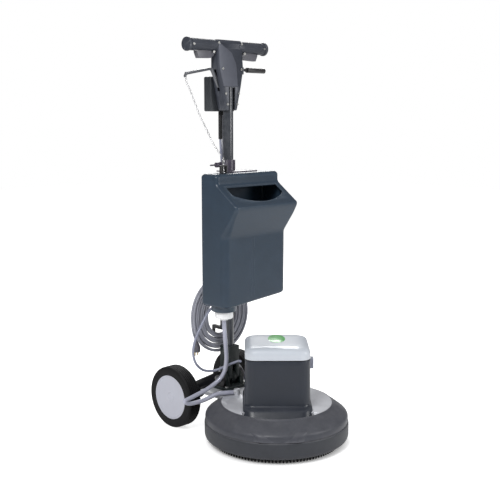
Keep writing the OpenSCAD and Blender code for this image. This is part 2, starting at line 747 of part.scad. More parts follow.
// The head's front view and side view, drawn in by the given wall
function head_face(w) = [for (s = [-1, 1]) each [for (p = s < 0 ?
    [[24, head_low], [head_half, adjust_z], [head_half, bar_z + 19]] :
    [[head_half, bar_z + 19], [head_half, adjust_z], [24, head_low]])
    [s * (p.x - w), p.y + (p.y == head_low ? w : p.y > bar_z ? -w : 0)]]];
function head_profile(w) = [
    [195 + w, head_low + w], [194 + w, bar_z - 122], [196 + w, adjust_z], [204 + w, bar_z + 19 - w],
    [box_y - w, bar_z + 19 - w], [box_y - w, head_low + w]
];

// The head's outside, drawn in by the given wall and moved forwards
module head_form(w, forwards = 0) intersection() {
    slab_y(150, 250) polygon(head_face(w));
    translate([0, -forwards, 0]) slab_x(-60, 60) polygon(head_profile(w));
}

module bar_form(w) translate([0, bar_y, bar_z]) {
    rod_x(-bar_half + 8 + w, bar_half - 8 - w, grip_r - w);
    for (x = [-bar_half, bar_half - 8]) rod_x(x + w, x + 8 - w, flange_r - w);
}

// The panel that stands proud on the front, from its left edge to a slanting crease
module pad_form() intersection() {
    head_form(0, 2.5);
    slab_y(170, 210) polygon([
        [-head_half + 3, bar_z + 12], [2, bar_z - 19], [19, adjust_z + 15], [22, bar_z - 122], [-37, bar_z - 122],
        [-head_half + 3, adjust_z]
    ]);
}

// Both half shells before they are parted, with their openings
module head_shell() difference() {
    union() {
        head_form(0);
        bar_form(0);
        pad_form();
        box([head_half - 6, 206, adjust_z - 14], [head_half + 9, 226, adjust_z + 8]);
    }
    head_form(head_wall);
    bar_form(head_wall);
    translate([0, pole_y, head_low - 10]) cylinder(r = pole_r, h = pole_high + 14 - head_low);
    box([-14, 150, head_low - 10], [14, pole_y, bar_z - 125]);
    for (s = [-1, 1]) {
        box([s > 0 ? 56 : -134, bar_y - trigger_half - 1.5, adjust_z],
            [s > 0 ? 134 : -56, bar_y + trigger_half + 1.5, bar_z - 4]);
        translate([s * trigger_x, 0, trigger_z]) rod_y(204, 234, 2.5);
    }
    box([-90, 210, lever_z - 16], [-30, 220, lever_z + 50]);
    box([40, 210, adjust_z - 10], [90, 220.5, adjust_z + 6]);
}

module head_front() color("#474b55") intersection() {
    head_shell();
    box([-200, 150, head_low - 20], [200, split_y, bar_z + 80]);
}

module head_rear() color("#474b55") intersection() {
    head_shell();
    box([-200, split_y, head_low - 20], [200, 250, bar_z + 80]);
}

// Screw heads on the front face: across, front of the face there, height
screw_places = [
    [49, 203, bar_z + 9], [40, 195.6, adjust_z], [28, 194.4, bar_z - 144], [21, 194.4, bar_z - 177]
];
module head_screws() color("silver") {
    for (p = screw_places, s = [-1, 1]) translate([s * p.x, 0, p.z]) rod_y(p.y - 3.4, p.y + 0.4, 3.5);
    for (s = [-1, 1]) translate([s * 152, 0, bar_z]) rod_y(bar_y - grip_r - 1, bar_y - grip_r + 3, 3.5);
}

module control_box() color("#3f444b") difference() {
    translate([0, 0, box_low]) plaque(box_half, box_y, box_y + box_depth, 5, box_top - box_low);
    box([-box_half + 3, box_y - 1, box_low + 3], [box_half - 3, box_y + box_depth - 3, box_top - 3]);
}

module circuit_board() color("darkgreen") {
    box([-42, box_y + 10, box_low + 8], [42, box_y + 12, box_top - 8]);
    box([-30, box_y + 12, box_low + 20], [-8, box_y + 28, box_low + 44]);
    box([6, box_y + 12, box_low + 50], [26, box_y + 26, box_low + 74]);
}

// Boots round the cables under the control box and where the motor cable leaves the pole
module cable_sleeves() color("#101113") {
    translate([0, 249 + back, box_low - 87]) difference() {
        cylinder(r = 6, h = 87);
        translate([0, 0, -1]) cylinder(r = motor_d / 2 + 0.2, h = 90);
    }
    translate([17, 252 + back, box_low - 12]) difference() {
        cylinder(r = mains_d / 2 + 2.5, h = 12);
        translate([0, 0, -1]) cylinder(r = mains_d / 2 + 0.2, h = 14);
    }
}

// A trigger under the right grip
module trigger() {
    difference() {
        translate([0, 0, trigger_z]) slab_y(bar_y - trigger_half, bar_y + trigger_half) polygon([
            [58, 2], [61, -10], [74, -19], [123, -21], [131, -4], [131, 1], [68, 6], [60, 6]
        ]);
        translate([trigger_x, 0, trigger_z]) rod_y(200, 240, 2.5 + run_gap);
    }
}

// A front view, with X to the right, as a plate between two Y values
module slab_y(y0, y1) translate([0, y1, 0]) rotate([90, 0, 0]) linear_extrude(y1 - y0) children();

module trigger_right() color("#55565f") trigger();
module trigger_left() color("#55565f") mirror([1, 0, 0]) trigger();

module water_lever() color("#4b4e55") slab_y(212, 218) difference() {
    translate([0, lever_z]) polygon([
        [-34, -6], [-43, -5], [-70, 45], [-75, 47], [-170, 30], [-178, 22], [-180, 26],
        [-174, 38], [-78, 54], [-66, 53], [-34, 6]
    ]);
    translate([lever_x, lever_z]) circle(3 + run_gap);
}

module pull_chain() color("silver") tube(smooth(chain_route, 2), chain_d);

module adjust_lever() color("#2a2c30") {
    difference() {
        union() {
            slab_y(212, 218) polygon([
                [34, adjust_z - 5], [86, adjust_z - 4], [86, adjust_z + 4], [34, adjust_z + 5]
            ]);
            for (y = [pole_y - 9, pole_y + 5]) box([2, y, adjust_z - 3], [40, y + 4, adjust_z + 4]);
        }
        translate([adjust_x, 0, adjust_z]) rod_y(200, 230, 3 + run_gap);
    }
    translate([0, 215, adjust_z]) rod_x(85, 165, 8);
}

// ---------- cords ----------

module motor_cable() color("#b4b8cc") tube(smooth(motor_route, 2), motor_d);

module water_hose() color("#c9cbe0") tube(smooth(hose_route, 2), hose_d);

// The two stretches of the mains cable that aren't coiled
module mains_cable() color("#8a8c98") {
    tube(mains_route, mains_d);
    tube(tail_route, mains_d);
}

// The outline of the hank at a given half width
module hank_outline(half) {
    for (z = [hank_low_z, hank_high_z]) translate([0, z]) circle(half);
    translate([-half, hank_low_z]) square([2 * half, hank_high_z - hank_low_z]);
}

module mains_coil() color("#8a8c98") translate([0, hank_y + hank_t, 0]) rotate([90, 0, 0])
    linear_extrude(hank_t) difference() {
        hank_outline(hank_half);
        hank_outline(hank_in);
    }

module mains_plug() color("#77767f") translate([-88, 275 + back, 0]) {
    translate([0, 0, 246]) cylinder(r = 13, h = 22);
    translate([0, 0, 268]) cylinder(r1 = 12, r2 = mains_d / 2 + 1, h = 14);
    for (x = [-6, 6]) translate([x, 0, 234]) cylinder(r = 2.2, h = 12);
}

base_plate();
shroud();
bumper_band();
motor_cover();
motor_cap();
motor_frame();
stator();
end_shield();
bearings();
capacitor();
cable_gland();
gearbox_case();
ring_gear();
foot_bracket();
pivot_pin();
axle_arms();
wheel_axle();
deck_bolts();
planet_carrier();
drive_plate();
brush_block();
bristles();
motor_shaft();
sun_gear();
rotor_core();
cooling_fan();
planet_gear_1();
planet_gear_2();
planet_gear_3();
left_tyre();
left_hub();
right_tyre();
right_hub();
pole_tube();
pole_yoke();
tank_shell();
tank_hanger();
rod_guide();
outlet_fitting();
head_front();
head_rear();
head_screws();
control_box();
circuit_board();
cord_hooks();
cable_sleeves();
trigger_left();
trigger_right();
water_lever();
pull_chain();
valve_rod();
valve_spring();
adjust_lever();
brake_rod();
clamp_knob();
motor_cable();
water_hose();
mains_cable();
mains_coil();
mains_plug();
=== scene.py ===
import math

import bmesh
import bpy
from mathutils import Matrix, Vector


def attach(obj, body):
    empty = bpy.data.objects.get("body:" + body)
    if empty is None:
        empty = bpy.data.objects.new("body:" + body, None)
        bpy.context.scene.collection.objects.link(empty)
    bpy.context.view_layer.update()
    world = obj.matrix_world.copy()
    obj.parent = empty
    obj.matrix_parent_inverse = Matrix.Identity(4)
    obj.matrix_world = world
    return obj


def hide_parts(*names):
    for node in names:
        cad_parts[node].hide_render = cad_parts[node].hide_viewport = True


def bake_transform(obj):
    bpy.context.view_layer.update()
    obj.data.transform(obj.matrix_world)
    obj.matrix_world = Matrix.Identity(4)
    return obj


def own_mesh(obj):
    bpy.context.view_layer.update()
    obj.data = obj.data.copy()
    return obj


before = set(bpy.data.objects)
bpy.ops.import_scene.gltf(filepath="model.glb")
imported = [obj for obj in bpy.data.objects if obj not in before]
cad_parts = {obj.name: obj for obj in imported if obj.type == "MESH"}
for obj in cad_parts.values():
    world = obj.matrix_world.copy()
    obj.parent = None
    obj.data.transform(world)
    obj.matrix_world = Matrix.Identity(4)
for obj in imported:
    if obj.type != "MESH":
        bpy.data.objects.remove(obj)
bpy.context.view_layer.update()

# ---- The room and the camera ----
# A pale studio floor that runs out of sight, a large soft light over the camera's left shoulder,
# a weaker one on its right, and one behind the machine that picks out its edges.

camera = bpy.data.objects.new("camera", bpy.data.cameras.new("camera"))
camera.location = (-1.9444, -1.7944, 1.0064)
camera.rotation_euler = [math.radians(a) for a in (81.3, 0, -45.5)]
camera.data.lens = 63.16
camera.data.sensor_width = 36
bpy.context.scene.collection.objects.link(camera)
bpy.context.scene.camera = camera
bpy.context.scene.view_settings.view_transform = "Standard"

world = bpy.data.worlds.new("studio")
world.use_nodes = True
world.cycles.sampling_method = "NONE"
sky = world.node_tree
sky.nodes["Background"].inputs["Color"].default_value = (1, 1, 1, 1)
rays = sky.nodes.new("ShaderNodeLightPath")
seen = sky.nodes.new("ShaderNodeMapRange")
seen.inputs["To Max"].default_value = 1.0
dim = sky.nodes.new("ShaderNodeMapRange")
dim.inputs["To Min"].default_value = 0.36
dim.inputs["To Max"].default_value = 0.17
sky.links.new(rays.outputs["Is Glossy Ray"], dim.inputs["Value"])
sky.links.new(dim.outputs["Result"], seen.inputs["To Min"])
sky.links.new(rays.outputs["Is Camera Ray"], seen.inputs["Value"])
sky.links.new(seen.outputs["Result"], sky.nodes["Background"].inputs["Strength"])
bpy.context.scene.world = world


def lamp(name, place, aim, size, watts):
    """A soft oblong light, turned to its aim."""
    light = bpy.data.objects.new(name, bpy.data.lights.new(name, "AREA"))
    light.data.shape = "RECTANGLE"
    light.data.size, light.data.size_y = size
    light.data.energy = watts
    light.location = place
    way = Vector(aim) - Vector(place)
    light.rotation_euler = way.to_track_quat("-Z", "Y").to_euler()
    bpy.context.scene.collection.objects.link(light)


lamp("key_light", (-2.6, -0.9, 2.9), (0, 0.1, 0.6), (1.2, 1.4), 78)
lamp("fill_light", (1.3, -2.8, 1.6), (0, 0.1, 0.6), (1.0, 1.8), 34)
lamp("rim_light", (1.9, 2.2, 2.2), (0, 0.2, 0.6), (1.2, 1.6), 42)


def node_set(tree, kind, **values):
    """A new node, with values for its properties, and for its inputs by name or number."""
    node = tree.nodes.new(kind)
    for key, value in values.get("props", {}).items():
        setattr(node, key, value)
    for key, value in values.get("ins", {}).items():
        if isinstance(value, bpy.types.NodeSocket):
            tree.links.new(value, node.inputs[key])
        else:
            node.inputs[key].default_value = value
    return node


def group_with(name, kind, inputs, outputs):
    """A node group with named sockets, and its input and output nodes."""
    group = bpy.data.node_groups.new(name, kind)
    for label, socket, value in inputs:
        made = group.interface.new_socket(label, in_out="INPUT", socket_type=socket)
        if value is not None:
            made.default_value = value
    for label, socket in outputs:
        group.interface.new_socket(label, in_out="OUTPUT", socket_type=socket)
    return group, group.nodes.new("NodeGroupInput"), group.nodes.new("NodeGroupOutput")


def calc(tree, operation, a, b=0.0, c=0.0, clamp=False):
    """The result of a sum on numbers or sockets, in a tree of nodes."""
    node = node_set(tree, "ShaderNodeMath", props={"operation": operation, "use_clamp": clamp},
        ins={0: a, 1: b, 2: c})
    return node.outputs[0]


FLOAT, COLOUR = "NodeSocketFloat", "NodeSocketColor"

# Mottle: slow and fine unevenness of a surface's colour, as in any moulding or paint
mottle, gin, gout = group_with("mottle", "ShaderNodeTree",
    [("Colour", COLOUR, (0.5, 0.5, 0.5, 1)), ("Size", FLOAT, 0.05), ("Amount", FLOAT, 0.1)],
    [("Colour", COLOUR)])
spot = mottle.nodes.new("ShaderNodeTexCoord").outputs["Object"]
rate = calc(mottle, "DIVIDE", 1.0, gin.outputs["Size"])
slow = node_set(mottle, "ShaderNodeTexNoise", ins={"Vector": spot, "Scale": rate, "Detail": 4.0})
lift = calc(mottle, "MULTIPLY_ADD", slow.outputs["Fac"], 2.0, -1.0)
part = calc(mottle, "MULTIPLY_ADD", lift, gin.outputs["Amount"], 1.0)
tone = node_set(mottle, "ShaderNodeHueSaturation", ins={"Value": part, "Color": gin.outputs["Colour"]})
mottle.links.new(tone.outputs[0], gout.inputs["Colour"])

# Grain: the fine texture of a moulded or painted skin, as a height and a change of roughness
grain, gin, gout = group_with("grain", "ShaderNodeTree",
    [("Size", FLOAT, 0.001), ("Roughness", FLOAT, 0.5), ("Spread", FLOAT, 0.1)],
    [("Height", FLOAT), ("Roughness", FLOAT)])
spot = grain.nodes.new("ShaderNodeTexCoord").outputs["Object"]
rate = calc(grain, "DIVIDE", 1.0, gin.outputs["Size"])
fine = node_set(grain, "ShaderNodeTexNoise", ins={"Vector": spot, "Scale": rate, "Detail": 2.0})
patch = node_set(grain, "ShaderNodeTexNoise", ins={"Vector": spot, "Scale": 22.0, "Detail": 5.0})
off = calc(grain, "SUBTRACT", patch.outputs["Fac"], 0.5)
rough = calc(grain, "MULTIPLY_ADD", off, gin.outputs["Spread"], gin.outputs["Roughness"], clamp=True)
grain.links.new(fine.outputs["Fac"], gout.inputs["Height"])
grain.links.new(rough, gout.inputs["Roughness"])

# Edge wear and painted highlight: rubbed, lighter edges, broken up by noise; with a pale edge colour they
# are a painted highlight
wear, gin, gout = group_with("edge_wear", "ShaderNodeTree",
    [("Colour", COLOUR, (0.5, 0.5, 0.5, 1)), ("Worn and highlight", COLOUR, (0.8, 0.8, 0.8, 1)), ("Amount", FLOAT, 0.3)],
    [("Colour", COLOUR)])
spot = wear.nodes.new("ShaderNodeTexCoord").outputs["Object"]
pointed = wear.nodes.new("ShaderNodeNewGeometry").outputs["Pointiness"]
sharp = node_set(wear, "ShaderNodeMapRange", ins={"Value": pointed, "From Min": 0.515, "From Max": 0.6})
broken = node_set(wear, "ShaderNodeTexNoise", ins={"Vector": spot, "Scale": 60.0, "Detail": 6.0})
both = calc(wear, "MULTIPLY", sharp.outputs[0], broken.outputs["Fac"])
share = calc(wear, "MULTIPLY", both, gin.outputs["Amount"], clamp=True)
mixed = node_set(wear, "ShaderNodeMix", props={"data_type": "RGBA"},
    ins={0: share, 6: gin.outputs["Colour"], 7: gin.outputs["Worn and highlight"]})
wear.links.new(mixed.outputs[2], gout.inputs["Colour"])

# Dust: a thin pale film on faces that look up
dust, gin, gout = group_with("dust", "ShaderNodeTree",
    [("Colour", COLOUR, (0.5, 0.5, 0.5, 1)), ("Film", COLOUR, (0.5, 0.5, 0.5, 1)), ("Amount", FLOAT, 0.2)],
    [("Colour", COLOUR)])
spot = dust.nodes.new("ShaderNodeTexCoord").outputs["Object"]
facing = dust.nodes.new("ShaderNodeNewGeometry").outputs["Normal"]
up = node_set(dust, "ShaderNodeSeparateXYZ", ins={0: facing})
flat = node_set(dust, "ShaderNodeMapRange",
    ins={"Value": up.outputs["Z"], "From Min": 0.2, "From Max": 1.0})
cloud = node_set(dust, "ShaderNodeTexNoise",
    ins={"Vector": spot, "Scale": 35.0, "Detail": 7.0, "Roughness": 0.7})
both = calc(dust, "MULTIPLY", flat.outputs[0], cloud.outputs["Fac"])
share = calc(dust, "MULTIPLY", both, gin.outputs["Amount"], clamp=True)
mixed = node_set(dust, "ShaderNodeMix", props={"data_type": "RGBA"},
    ins={0: share, 6: gin.outputs["Colour"], 7: gin.outputs["Film"]})
dust.links.new(mixed.outputs[2], gout.inputs["Colour"])


def finish(name, colour, rough, metal=0.0, size=0.001, depth=0.00005, spread=0.15, uneven=0.12,
           worn_and_highlight=None, rub_and_highlight=0.5, film=0.15, coat=0.0, specular=0.5):
    """A material: mottled colour, worn edges that can be a painted highlight, dust, and grain as bump and
    roughness.
    """
    made = bpy.data.materials.new(name)
    made.use_nodes = True
    tree = made.node_tree
    skin = tree.nodes["Principled BSDF"]
    skin.inputs["Metallic"].default_value = metal
    skin.inputs["Coat Weight"].default_value = coat
    skin.inputs["Specular IOR Level"].default_value = specular
    base = (*colour, 1)
    pale = (*(worn_and_highlight or [min(1, c * 1.9 + 0.04) for c in colour]), 1)
    patchy = node_set(tree, "ShaderNodeGroup", props={"node_tree": mottle},
        ins={"Colour": base, "Size": 0.045, "Amount": uneven})
    rubbed_and_highlit = node_set(tree, "ShaderNodeGroup", props={"node_tree": wear},
        ins={"Colour": patchy.outputs[0], "Worn and highlight": pale, "Amount": rub_and_highlight})
    dusty = node_set(tree, "ShaderNodeGroup", props={"node_tree": dust},
        ins={"Colour": rubbed_and_highlit.outputs[0], "Film": (0.42, 0.42, 0.44, 1), "Amount": film})
    grained = node_set(tree, "ShaderNodeGroup", props={"node_tree": grain},
        ins={"Size": size, "Roughness": rough, "Spread": spread})
    bump = node_set(tree, "ShaderNodeBump",
        ins={"Height": grained.outputs["Height"], "Distance": depth, "Strength": 1.0})
    tree.links.new(dusty.outputs[0], skin.inputs["Base Color"])
    tree.links.new(grained.outputs["Roughness"], skin.inputs["Roughness"])
    tree.links.new(bump.outputs[0], skin.inputs["Normal"])
    return made


floor_mesh = bpy.data.meshes.new("floor")
floor_mesh.from_pydata([(-9, -9, 0), (9, -9, 0), (9, 9, 0), (-9, 9, 0)], [], [(0, 1, 2, 3)])
floor = bpy.data.objects.new("floor", floor_mesh)
bpy.context.scene.collection.objects.link(floor)
paper = finish("paper", (0.90, 0.90, 0.90), 0.9, uneven=0.01, rub_and_highlight=0, film=0, specular=0.1)
tree = paper.node_tree
skin = tree.nodes["Principled BSDF"]
# The paper glows: strongly where the camera sees it, and weakly as light on the machine from below
skin.inputs["Emission Color"].default_value = (1, 1, 1, 1)
rays = tree.nodes.new("ShaderNodeLightPath")
lit = node_set(tree, "ShaderNodeMapRange",
    ins={"Value": rays.outputs["Is Camera Ray"], "To Min": 0.15, "To Max": 0.72})
spot = tree.nodes.new("ShaderNodeTexCoord").outputs["Object"]
reach = node_set(tree, "ShaderNodeVectorMath", props={"operation": "LENGTH"}, ins={0: spot})
# The glow is painted out under the machine, a painted shadow where no light would reach
painted_shadow_fade = node_set(tree, "ShaderNodeMapRange",
    ins={"Value": reach.outputs["Value"], "From Min": 0.19, "From Max": 0.24, "To Min": 0.03, "To Max": 1.0})
glow = calc(tree, "MULTIPLY", lit.outputs["Result"], painted_shadow_fade.outputs["Result"])
tree.links.new(glow, skin.inputs["Emission Strength"])
floor_mesh.materials.append(paper)


# ---- Mains cable ----
# Grey rubber sheathed cable, some eight and a half metres. It leaves the control box through a
# boot, runs down behind the pole and is wound thirteen times round the two hooks, in two layers.

def metres(points):
    """Points in mm as vectors in metres."""
    return [Vector(p) / 1000 for p in points]


def eased(points, steps):
    """A smooth curve through the points."""
    out, last = [], len(points) - 1
    for i in range(last):
        a, b = points[max(i - 1, 0)], points[i]
        c, d = points[i + 1], points[min(i + 2, last)]
        for k in range(steps):
            t = k / steps
            out.append(0.5 * (2 * b + (c - a) * t + (2 * a - 5 * b + 4 * c - d) * t * t
                              + (3 * b - a - 3 * c + d) * t ** 3))
    return out + [points[last]]


def shaped(name, verts, faces, material, angle=40):
    """A mesh object with smooth shading that keeps edges sharper than the angle."""
    mesh = bpy.data.meshes.new(name)
    mesh.from_pydata([tuple(v) for v in verts], [], faces)
    bm = bmesh.new()
    bm.from_mesh(mesh)
    bmesh.ops.remove_doubles(bm, verts=bm.verts, dist=1e-6)
    bmesh.ops.recalc_face_normals(bm, faces=bm.faces)
    bm.to_mesh(mesh)
    bm.free()
    mesh.shade_smooth()
    mesh.set_sharp_from_angle(angle=math.radians(angle))
    made = bpy.data.objects.new(name, mesh)
    bpy.context.scene.collection.objects.link(made)
    mesh.materials.append(material)
    return made


def ride_as(piece, body, slot, *nodes):
    """Fixes a piece to a body, and hides the nodes that it stands for; slot is not used."""
    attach(piece, body)
    if nodes:
        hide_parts(*nodes)
    return piece


def swept(name, points, thick, material, sides=14):
    """A round tube along the points, with flat ends."""
    ways = [(points[min(i + 1, len(points) - 1)] - points[max(i - 1, 0)]).normalized()
            for i in range(len(points))]
    across = Vector((1, 0, 0)) if abs(ways[0].z) > 0.9 else Vector((0, 0, 1))
    verts, faces = [], []
    for i, (p, way) in enumerate(zip(points, ways)):
        across = (across - way * across.dot(way)).normalized()
        other = way.cross(across)
        for k in range(sides):
            a = 2 * math.pi * k / sides
            verts.append(p + thick / 2 * (math.cos(a) * across + math.sin(a) * other))
        if i:
            base = (i - 1) * sides
            faces += [(base + k, base + (k + 1) % sides, base + sides + (k + 1) % sides, base + sides + k)
                      for k in range(sides)]
    faces.append(tuple(range(sides - 1, -1, -1)))
    faces.append(tuple(range(len(verts) - sides, len(verts))))
    return shaped(name, verts, faces, material)


def hank_point(turn, radius, depth):
    """A point on a long loop, from the angle past the top, towards -X."""
    a = turn % (2 * math.pi)
    straight = hank_high - hank_low
    arc = math.pi * radius
    along = a / (2 * math.pi) * (2 * arc + 2 * straight)
    if along < arc / 2:
        b = along / radius
        return Vector((-radius * math.sin(b), depth, hank_high + radius * math.cos(b)))
    along -= arc / 2
    if along < straight:
        return Vector((-radius, depth, hank_high - along))
    along -= straight
    if along < arc:
        b = along / radius
        return Vector((-radius * math.cos(b), depth, hank_low - radius * math.sin(b)))
    along -= arc
    if along < straight:
        return Vector((radius, depth, hank_low + along))
    b = (along - straight) / radius
    return Vector((radius * math.cos(b), depth, hank_high + radius * math.sin(b)))


mains_d = 0.009
hank_low, hank_high = 0.360, 0.364
hank_turns, hank_inner, hank_outer = 13, 0.0622, 0.1222
near_layer, far_layer = 0.2476, 0.2568
points_per_turn = 44
mains = eased(metres([(17, 252, 1020), (17, 252, 960), (17, 252, 850), (17, 252, 700), (17, 252, 622),
                      (14, 251, 577), (2, 250, 537), (-20, 248.5, 508)]), 4)
first_turn = 0.30 / (2 * math.pi)
last_turn = hank_turns + 0.24
half = hank_turns / 2
count = int((last_turn - first_turn) * points_per_turn)
for i in range(count + 1):
    turn = first_turn + (last_turn - first_turn) * i / count
    if turn < half:
        share = turn / half
        radius = hank_outer - (hank_outer - hank_inner) * share
    else:
        share = (turn - half) / half
        radius = hank_inner + (hank_outer - hank_inner) * min(share, 1)
    crossing = min(1, max(0, (turn - half + 0.25) / 0.5))
    depth = near_layer + (far_layer - near_layer) * crossing
    wander = 0.0014 * math.sin(3.1 * turn) + 0.0008 * math.sin(11.7 * turn)
    mains.append(hank_point(2 * math.pi * turn, radius + wander, depth))
mains += metres([(-120, 258, 358), (-115, 261, 332), (-106, 266, 310), (-95, 272, 295), (-88, 275, 282)])

mains_grey = finish("mains_sheath", (0.25, 0.257, 0.30), 0.42, size=0.0012, depth=0.00006, uneven=0.2,
    film=0.1)
curve = bpy.data.curves.new("mains_lead", "CURVE")
curve.dimensions = "3D"
curve.bevel_depth = mains_d / 2
curve.bevel_resolution = 2
curve.use_fill_caps = True
line = curve.splines.new("POLY")
line.points.add(len(mains) - 1)
for point, place in zip(line.points, mains):
    point.co = (*place, 1)
line.use_smooth = True
mains_lead = bpy.data.objects.new("mains_lead", curve)
bpy.context.scene.collection.objects.link(mains_lead)
curve.materials.append(mains_grey)
ride_as(mains_lead, "pole", "mains_cable", "mains_cable", "mains_coil")


# ---- Mains plug ----
# A rubber plug moulded on the mains cable's end, with a ribbed tapered neck and two round brass
# pins. It hangs under the left side of the hank.

def turned(name, profile, material, place=(0, 0, 0), axis="Z", steps=96, angle=35):
    """A closed turned shape: profile is (radius, height) in mm round the axis, place is in mm."""
    verts, faces = [], []
    n = len(profile)
    for i in range(steps):
        a = 2 * math.pi * i / steps
        for r, h in profile:
            verts.append((r * math.cos(a), r * math.sin(a), h))
    for i in range(steps):
        j = (i + 1) % steps
        for k in range(n):
            m = (k + 1) % n
            if profile[k][0] < 1e-6 and profile[m][0] < 1e-6:
                continue
            quad = [i * n + k, j * n + k, j * n + m, i * n + m]
            if profile[k][0] < 1e-6:
                quad = [i * n + k, j * n + m, i * n + m]
            elif profile[m][0] < 1e-6:
                quad = [i * n + k, j * n + k, i * n + m]
            faces.append(tuple(quad))
    quarter = math.pi / 2
    turns = {"Z": Matrix(), "X": Matrix.Rotation(quarter, 4, "Y"), "-X": Matrix.Rotation(-quarter, 4, "Y"),
             "Y": Matrix.Rotation(-quarter, 4, "X")}
    whole = Matrix.Translation(Vector(place) / 1000) @ turns[axis] @ Matrix.Scale(0.001, 4)
    return shaped(name, [whole @ Vector(v) for v in verts], faces, material, angle)


def together(name, parts):
    """One mesh from several pieces."""
    bm = bmesh.new()
    mats = []
    for part in parts:
        mesh = part.data
        start = len(bm.faces)
        bm.from_mesh(mesh)
        bm.faces.ensure_lookup_table()
        own = []
        for m in mesh.materials:
            if m not in mats:
                mats.append(m)
            own.append(mats.index(m))
        for f in bm.faces[start:]:
            f.material_index = own[f.material_index]
        bpy.data.objects.remove(part)
    mesh = bpy.data.meshes.new(name)
    bm.to_mesh(mesh)
    bm.free()
    for m in mats:
        mesh.materials.append(m)
    made = bpy.data.objects.new(name, mesh)
    bpy.context.scene.collection.objects.link(made)
    return made


plug_grey = finish("plug_rubber", (0.10, 0.098, 0.115), 0.55, size=0.0008, film=0.12)
brass = finish("pin_brass", (0.75, 0.55, 0.25), 0.28, metal=1.0, uneven=0.08, rub_and_highlight=0.2, film=0.0)
neck = [(5.2 + 0.85 * k + (1.1 if k % 2 else 0), 282 - 2.2 * k) for k in range(1, 7)]
plug_profile = [(0, 282), (5.2, 282)] + neck
plug_profile += [(12.6, 266), (13.2, 262), (13.2, 250), (12, 246.5), (0, 246)]
pin_profile = [(0, 247), (2.3, 247), (2.3, 236), (1.6, 234), (0, 234)]
plug_pieces = [turned("plug_body", plug_profile, plug_grey, (-88, 275, 0), steps=48)]
for x in (-6, 6):
    plug_pieces.append(turned("plug_pin", pin_profile, brass, (-88 + x, 275, 0), steps=20))
plug = together("plug", plug_pieces)
ride_as(plug, "pole", "plug", "mains_plug")


# ---- Motor cable ----
# A thinner, pale lavender grey cable from the control box to the motor. It runs down behind the
# pole to below the tank, then hangs in a loose loop to the gland on the motor cover.

motor_route = eased(metres([
    (0, 249, 1020), (0, 249, 940), (0, 243, 860), (0, 237, 800), (0, 237, 480), (-7, 236, 442),
    (-23, 235, 421), (-44, 232, 401), (-76, 230, 383), (-112, 230, 336), (-133, 230, 301),
    (-142, 230, 264), (-132, 229, 226), (-102, 226, 198), (-66, 212, 192), (-46, 186, 206),
    (-50, 145, 227), (-62, 108, 243), (-79.9, 79.9, 252)]), 8)
lavender = finish("motor_sheath", (0.27, 0.285, 0.37), 0.38, size=0.002, depth=0.00004, uneven=0.1,
    film=0.08, coat=0.15)
motor_lead = swept("motor_lead", motor_route, 0.008, lavender)
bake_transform(motor_lead)
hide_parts("motor_cable")


# ---- Water hose ----
# Clear flexible tube, faintly violet, pushed on to the tank's outlet. It drops in front of the
# pole, goes round the deck's left side and ends on the inlet boss of the cast plate.

hose_route = eased(metres([
    (-87, 145, 375), (-87, 145, 362), (-80, 147, 305), (-68, 155, 235), (-76, 166, 186),
    (-118, 181, 153), (-176, 194, 134), (-206, 199, 125), (-188, 195, 114), (-144, 182, 117),
    (-104, 161, 133), (-74, 145.5, 135), (-56.7, 136.8, 134)]), 10)
clear = finish("hose_tube", (0.40, 0.41, 0.50), 0.18, size=0.003, depth=0.00003, uneven=0.1, film=0.05,
    coat=0.4)
hose = swept("hose", hose_route, 0.0135, clear, sides=18)
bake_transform(hose)
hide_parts("water_hose")


# ---- Pull chain ----
# Plated steel twist-link chain between the water lever's tip and the ring of the valve rod.
# Links are bent from 1.6 mm wire, each turned a quarter round from the last.

chain_route = eased(metres([
    (-173, 215, 1120), (-172, 213, 1104), (-165, 208, 1086), (-156, 203, 1060), (-139, 194, 1010),
    (-123, 178, 962), (-111, 163, 922), (-96, 149, 891)]), 6)
plated = finish("plating", (0.80, 0.80, 0.82), 0.22, metal=1.0, uneven=0.06, rub_and_highlight=0.1, film=0.0)


def grown(name, tree, values, seed):
    """The plain mesh that a tree of geometry nodes grows on the seed mesh."""
    holder = bpy.data.objects.new(name + "_seed", seed)
    bpy.context.scene.collection.objects.link(holder)
    step = holder.modifiers.new("tree", "NODES")
    step.node_group = tree
    for item in tree.interface.items_tree:
        if getattr(item, "in_out", "") == "INPUT" and item.name in values:
            step[item.identifier] = values[item.name]
    ready = holder.evaluated_get(bpy.context.evaluated_depsgraph_get())
    mesh = bpy.data.meshes.new_from_object(ready)
    bpy.data.objects.remove(holder)
    made = bpy.data.objects.new(name, mesh)
    bpy.context.scene.collection.objects.link(made)
    return made


def ended(tree, gin, gout, mesh_socket, smooth=True):
    """The last steps of every tree: real meshes, smooth shading and the material."""
    real = node_set(tree, "GeometryNodeRealizeInstances", ins={0: mesh_socket})
    shade = node_set(tree, "GeometryNodeSetShadeSmooth", ins={"Geometry": real.outputs[0],
        "Shade Smooth": smooth})
    skin = node_set(tree, "GeometryNodeSetMaterial",
        ins={"Geometry": shade.outputs[0], "Material": gin.outputs["Material"]})
    tree.links.new(skin.outputs[0], gout.inputs[0])


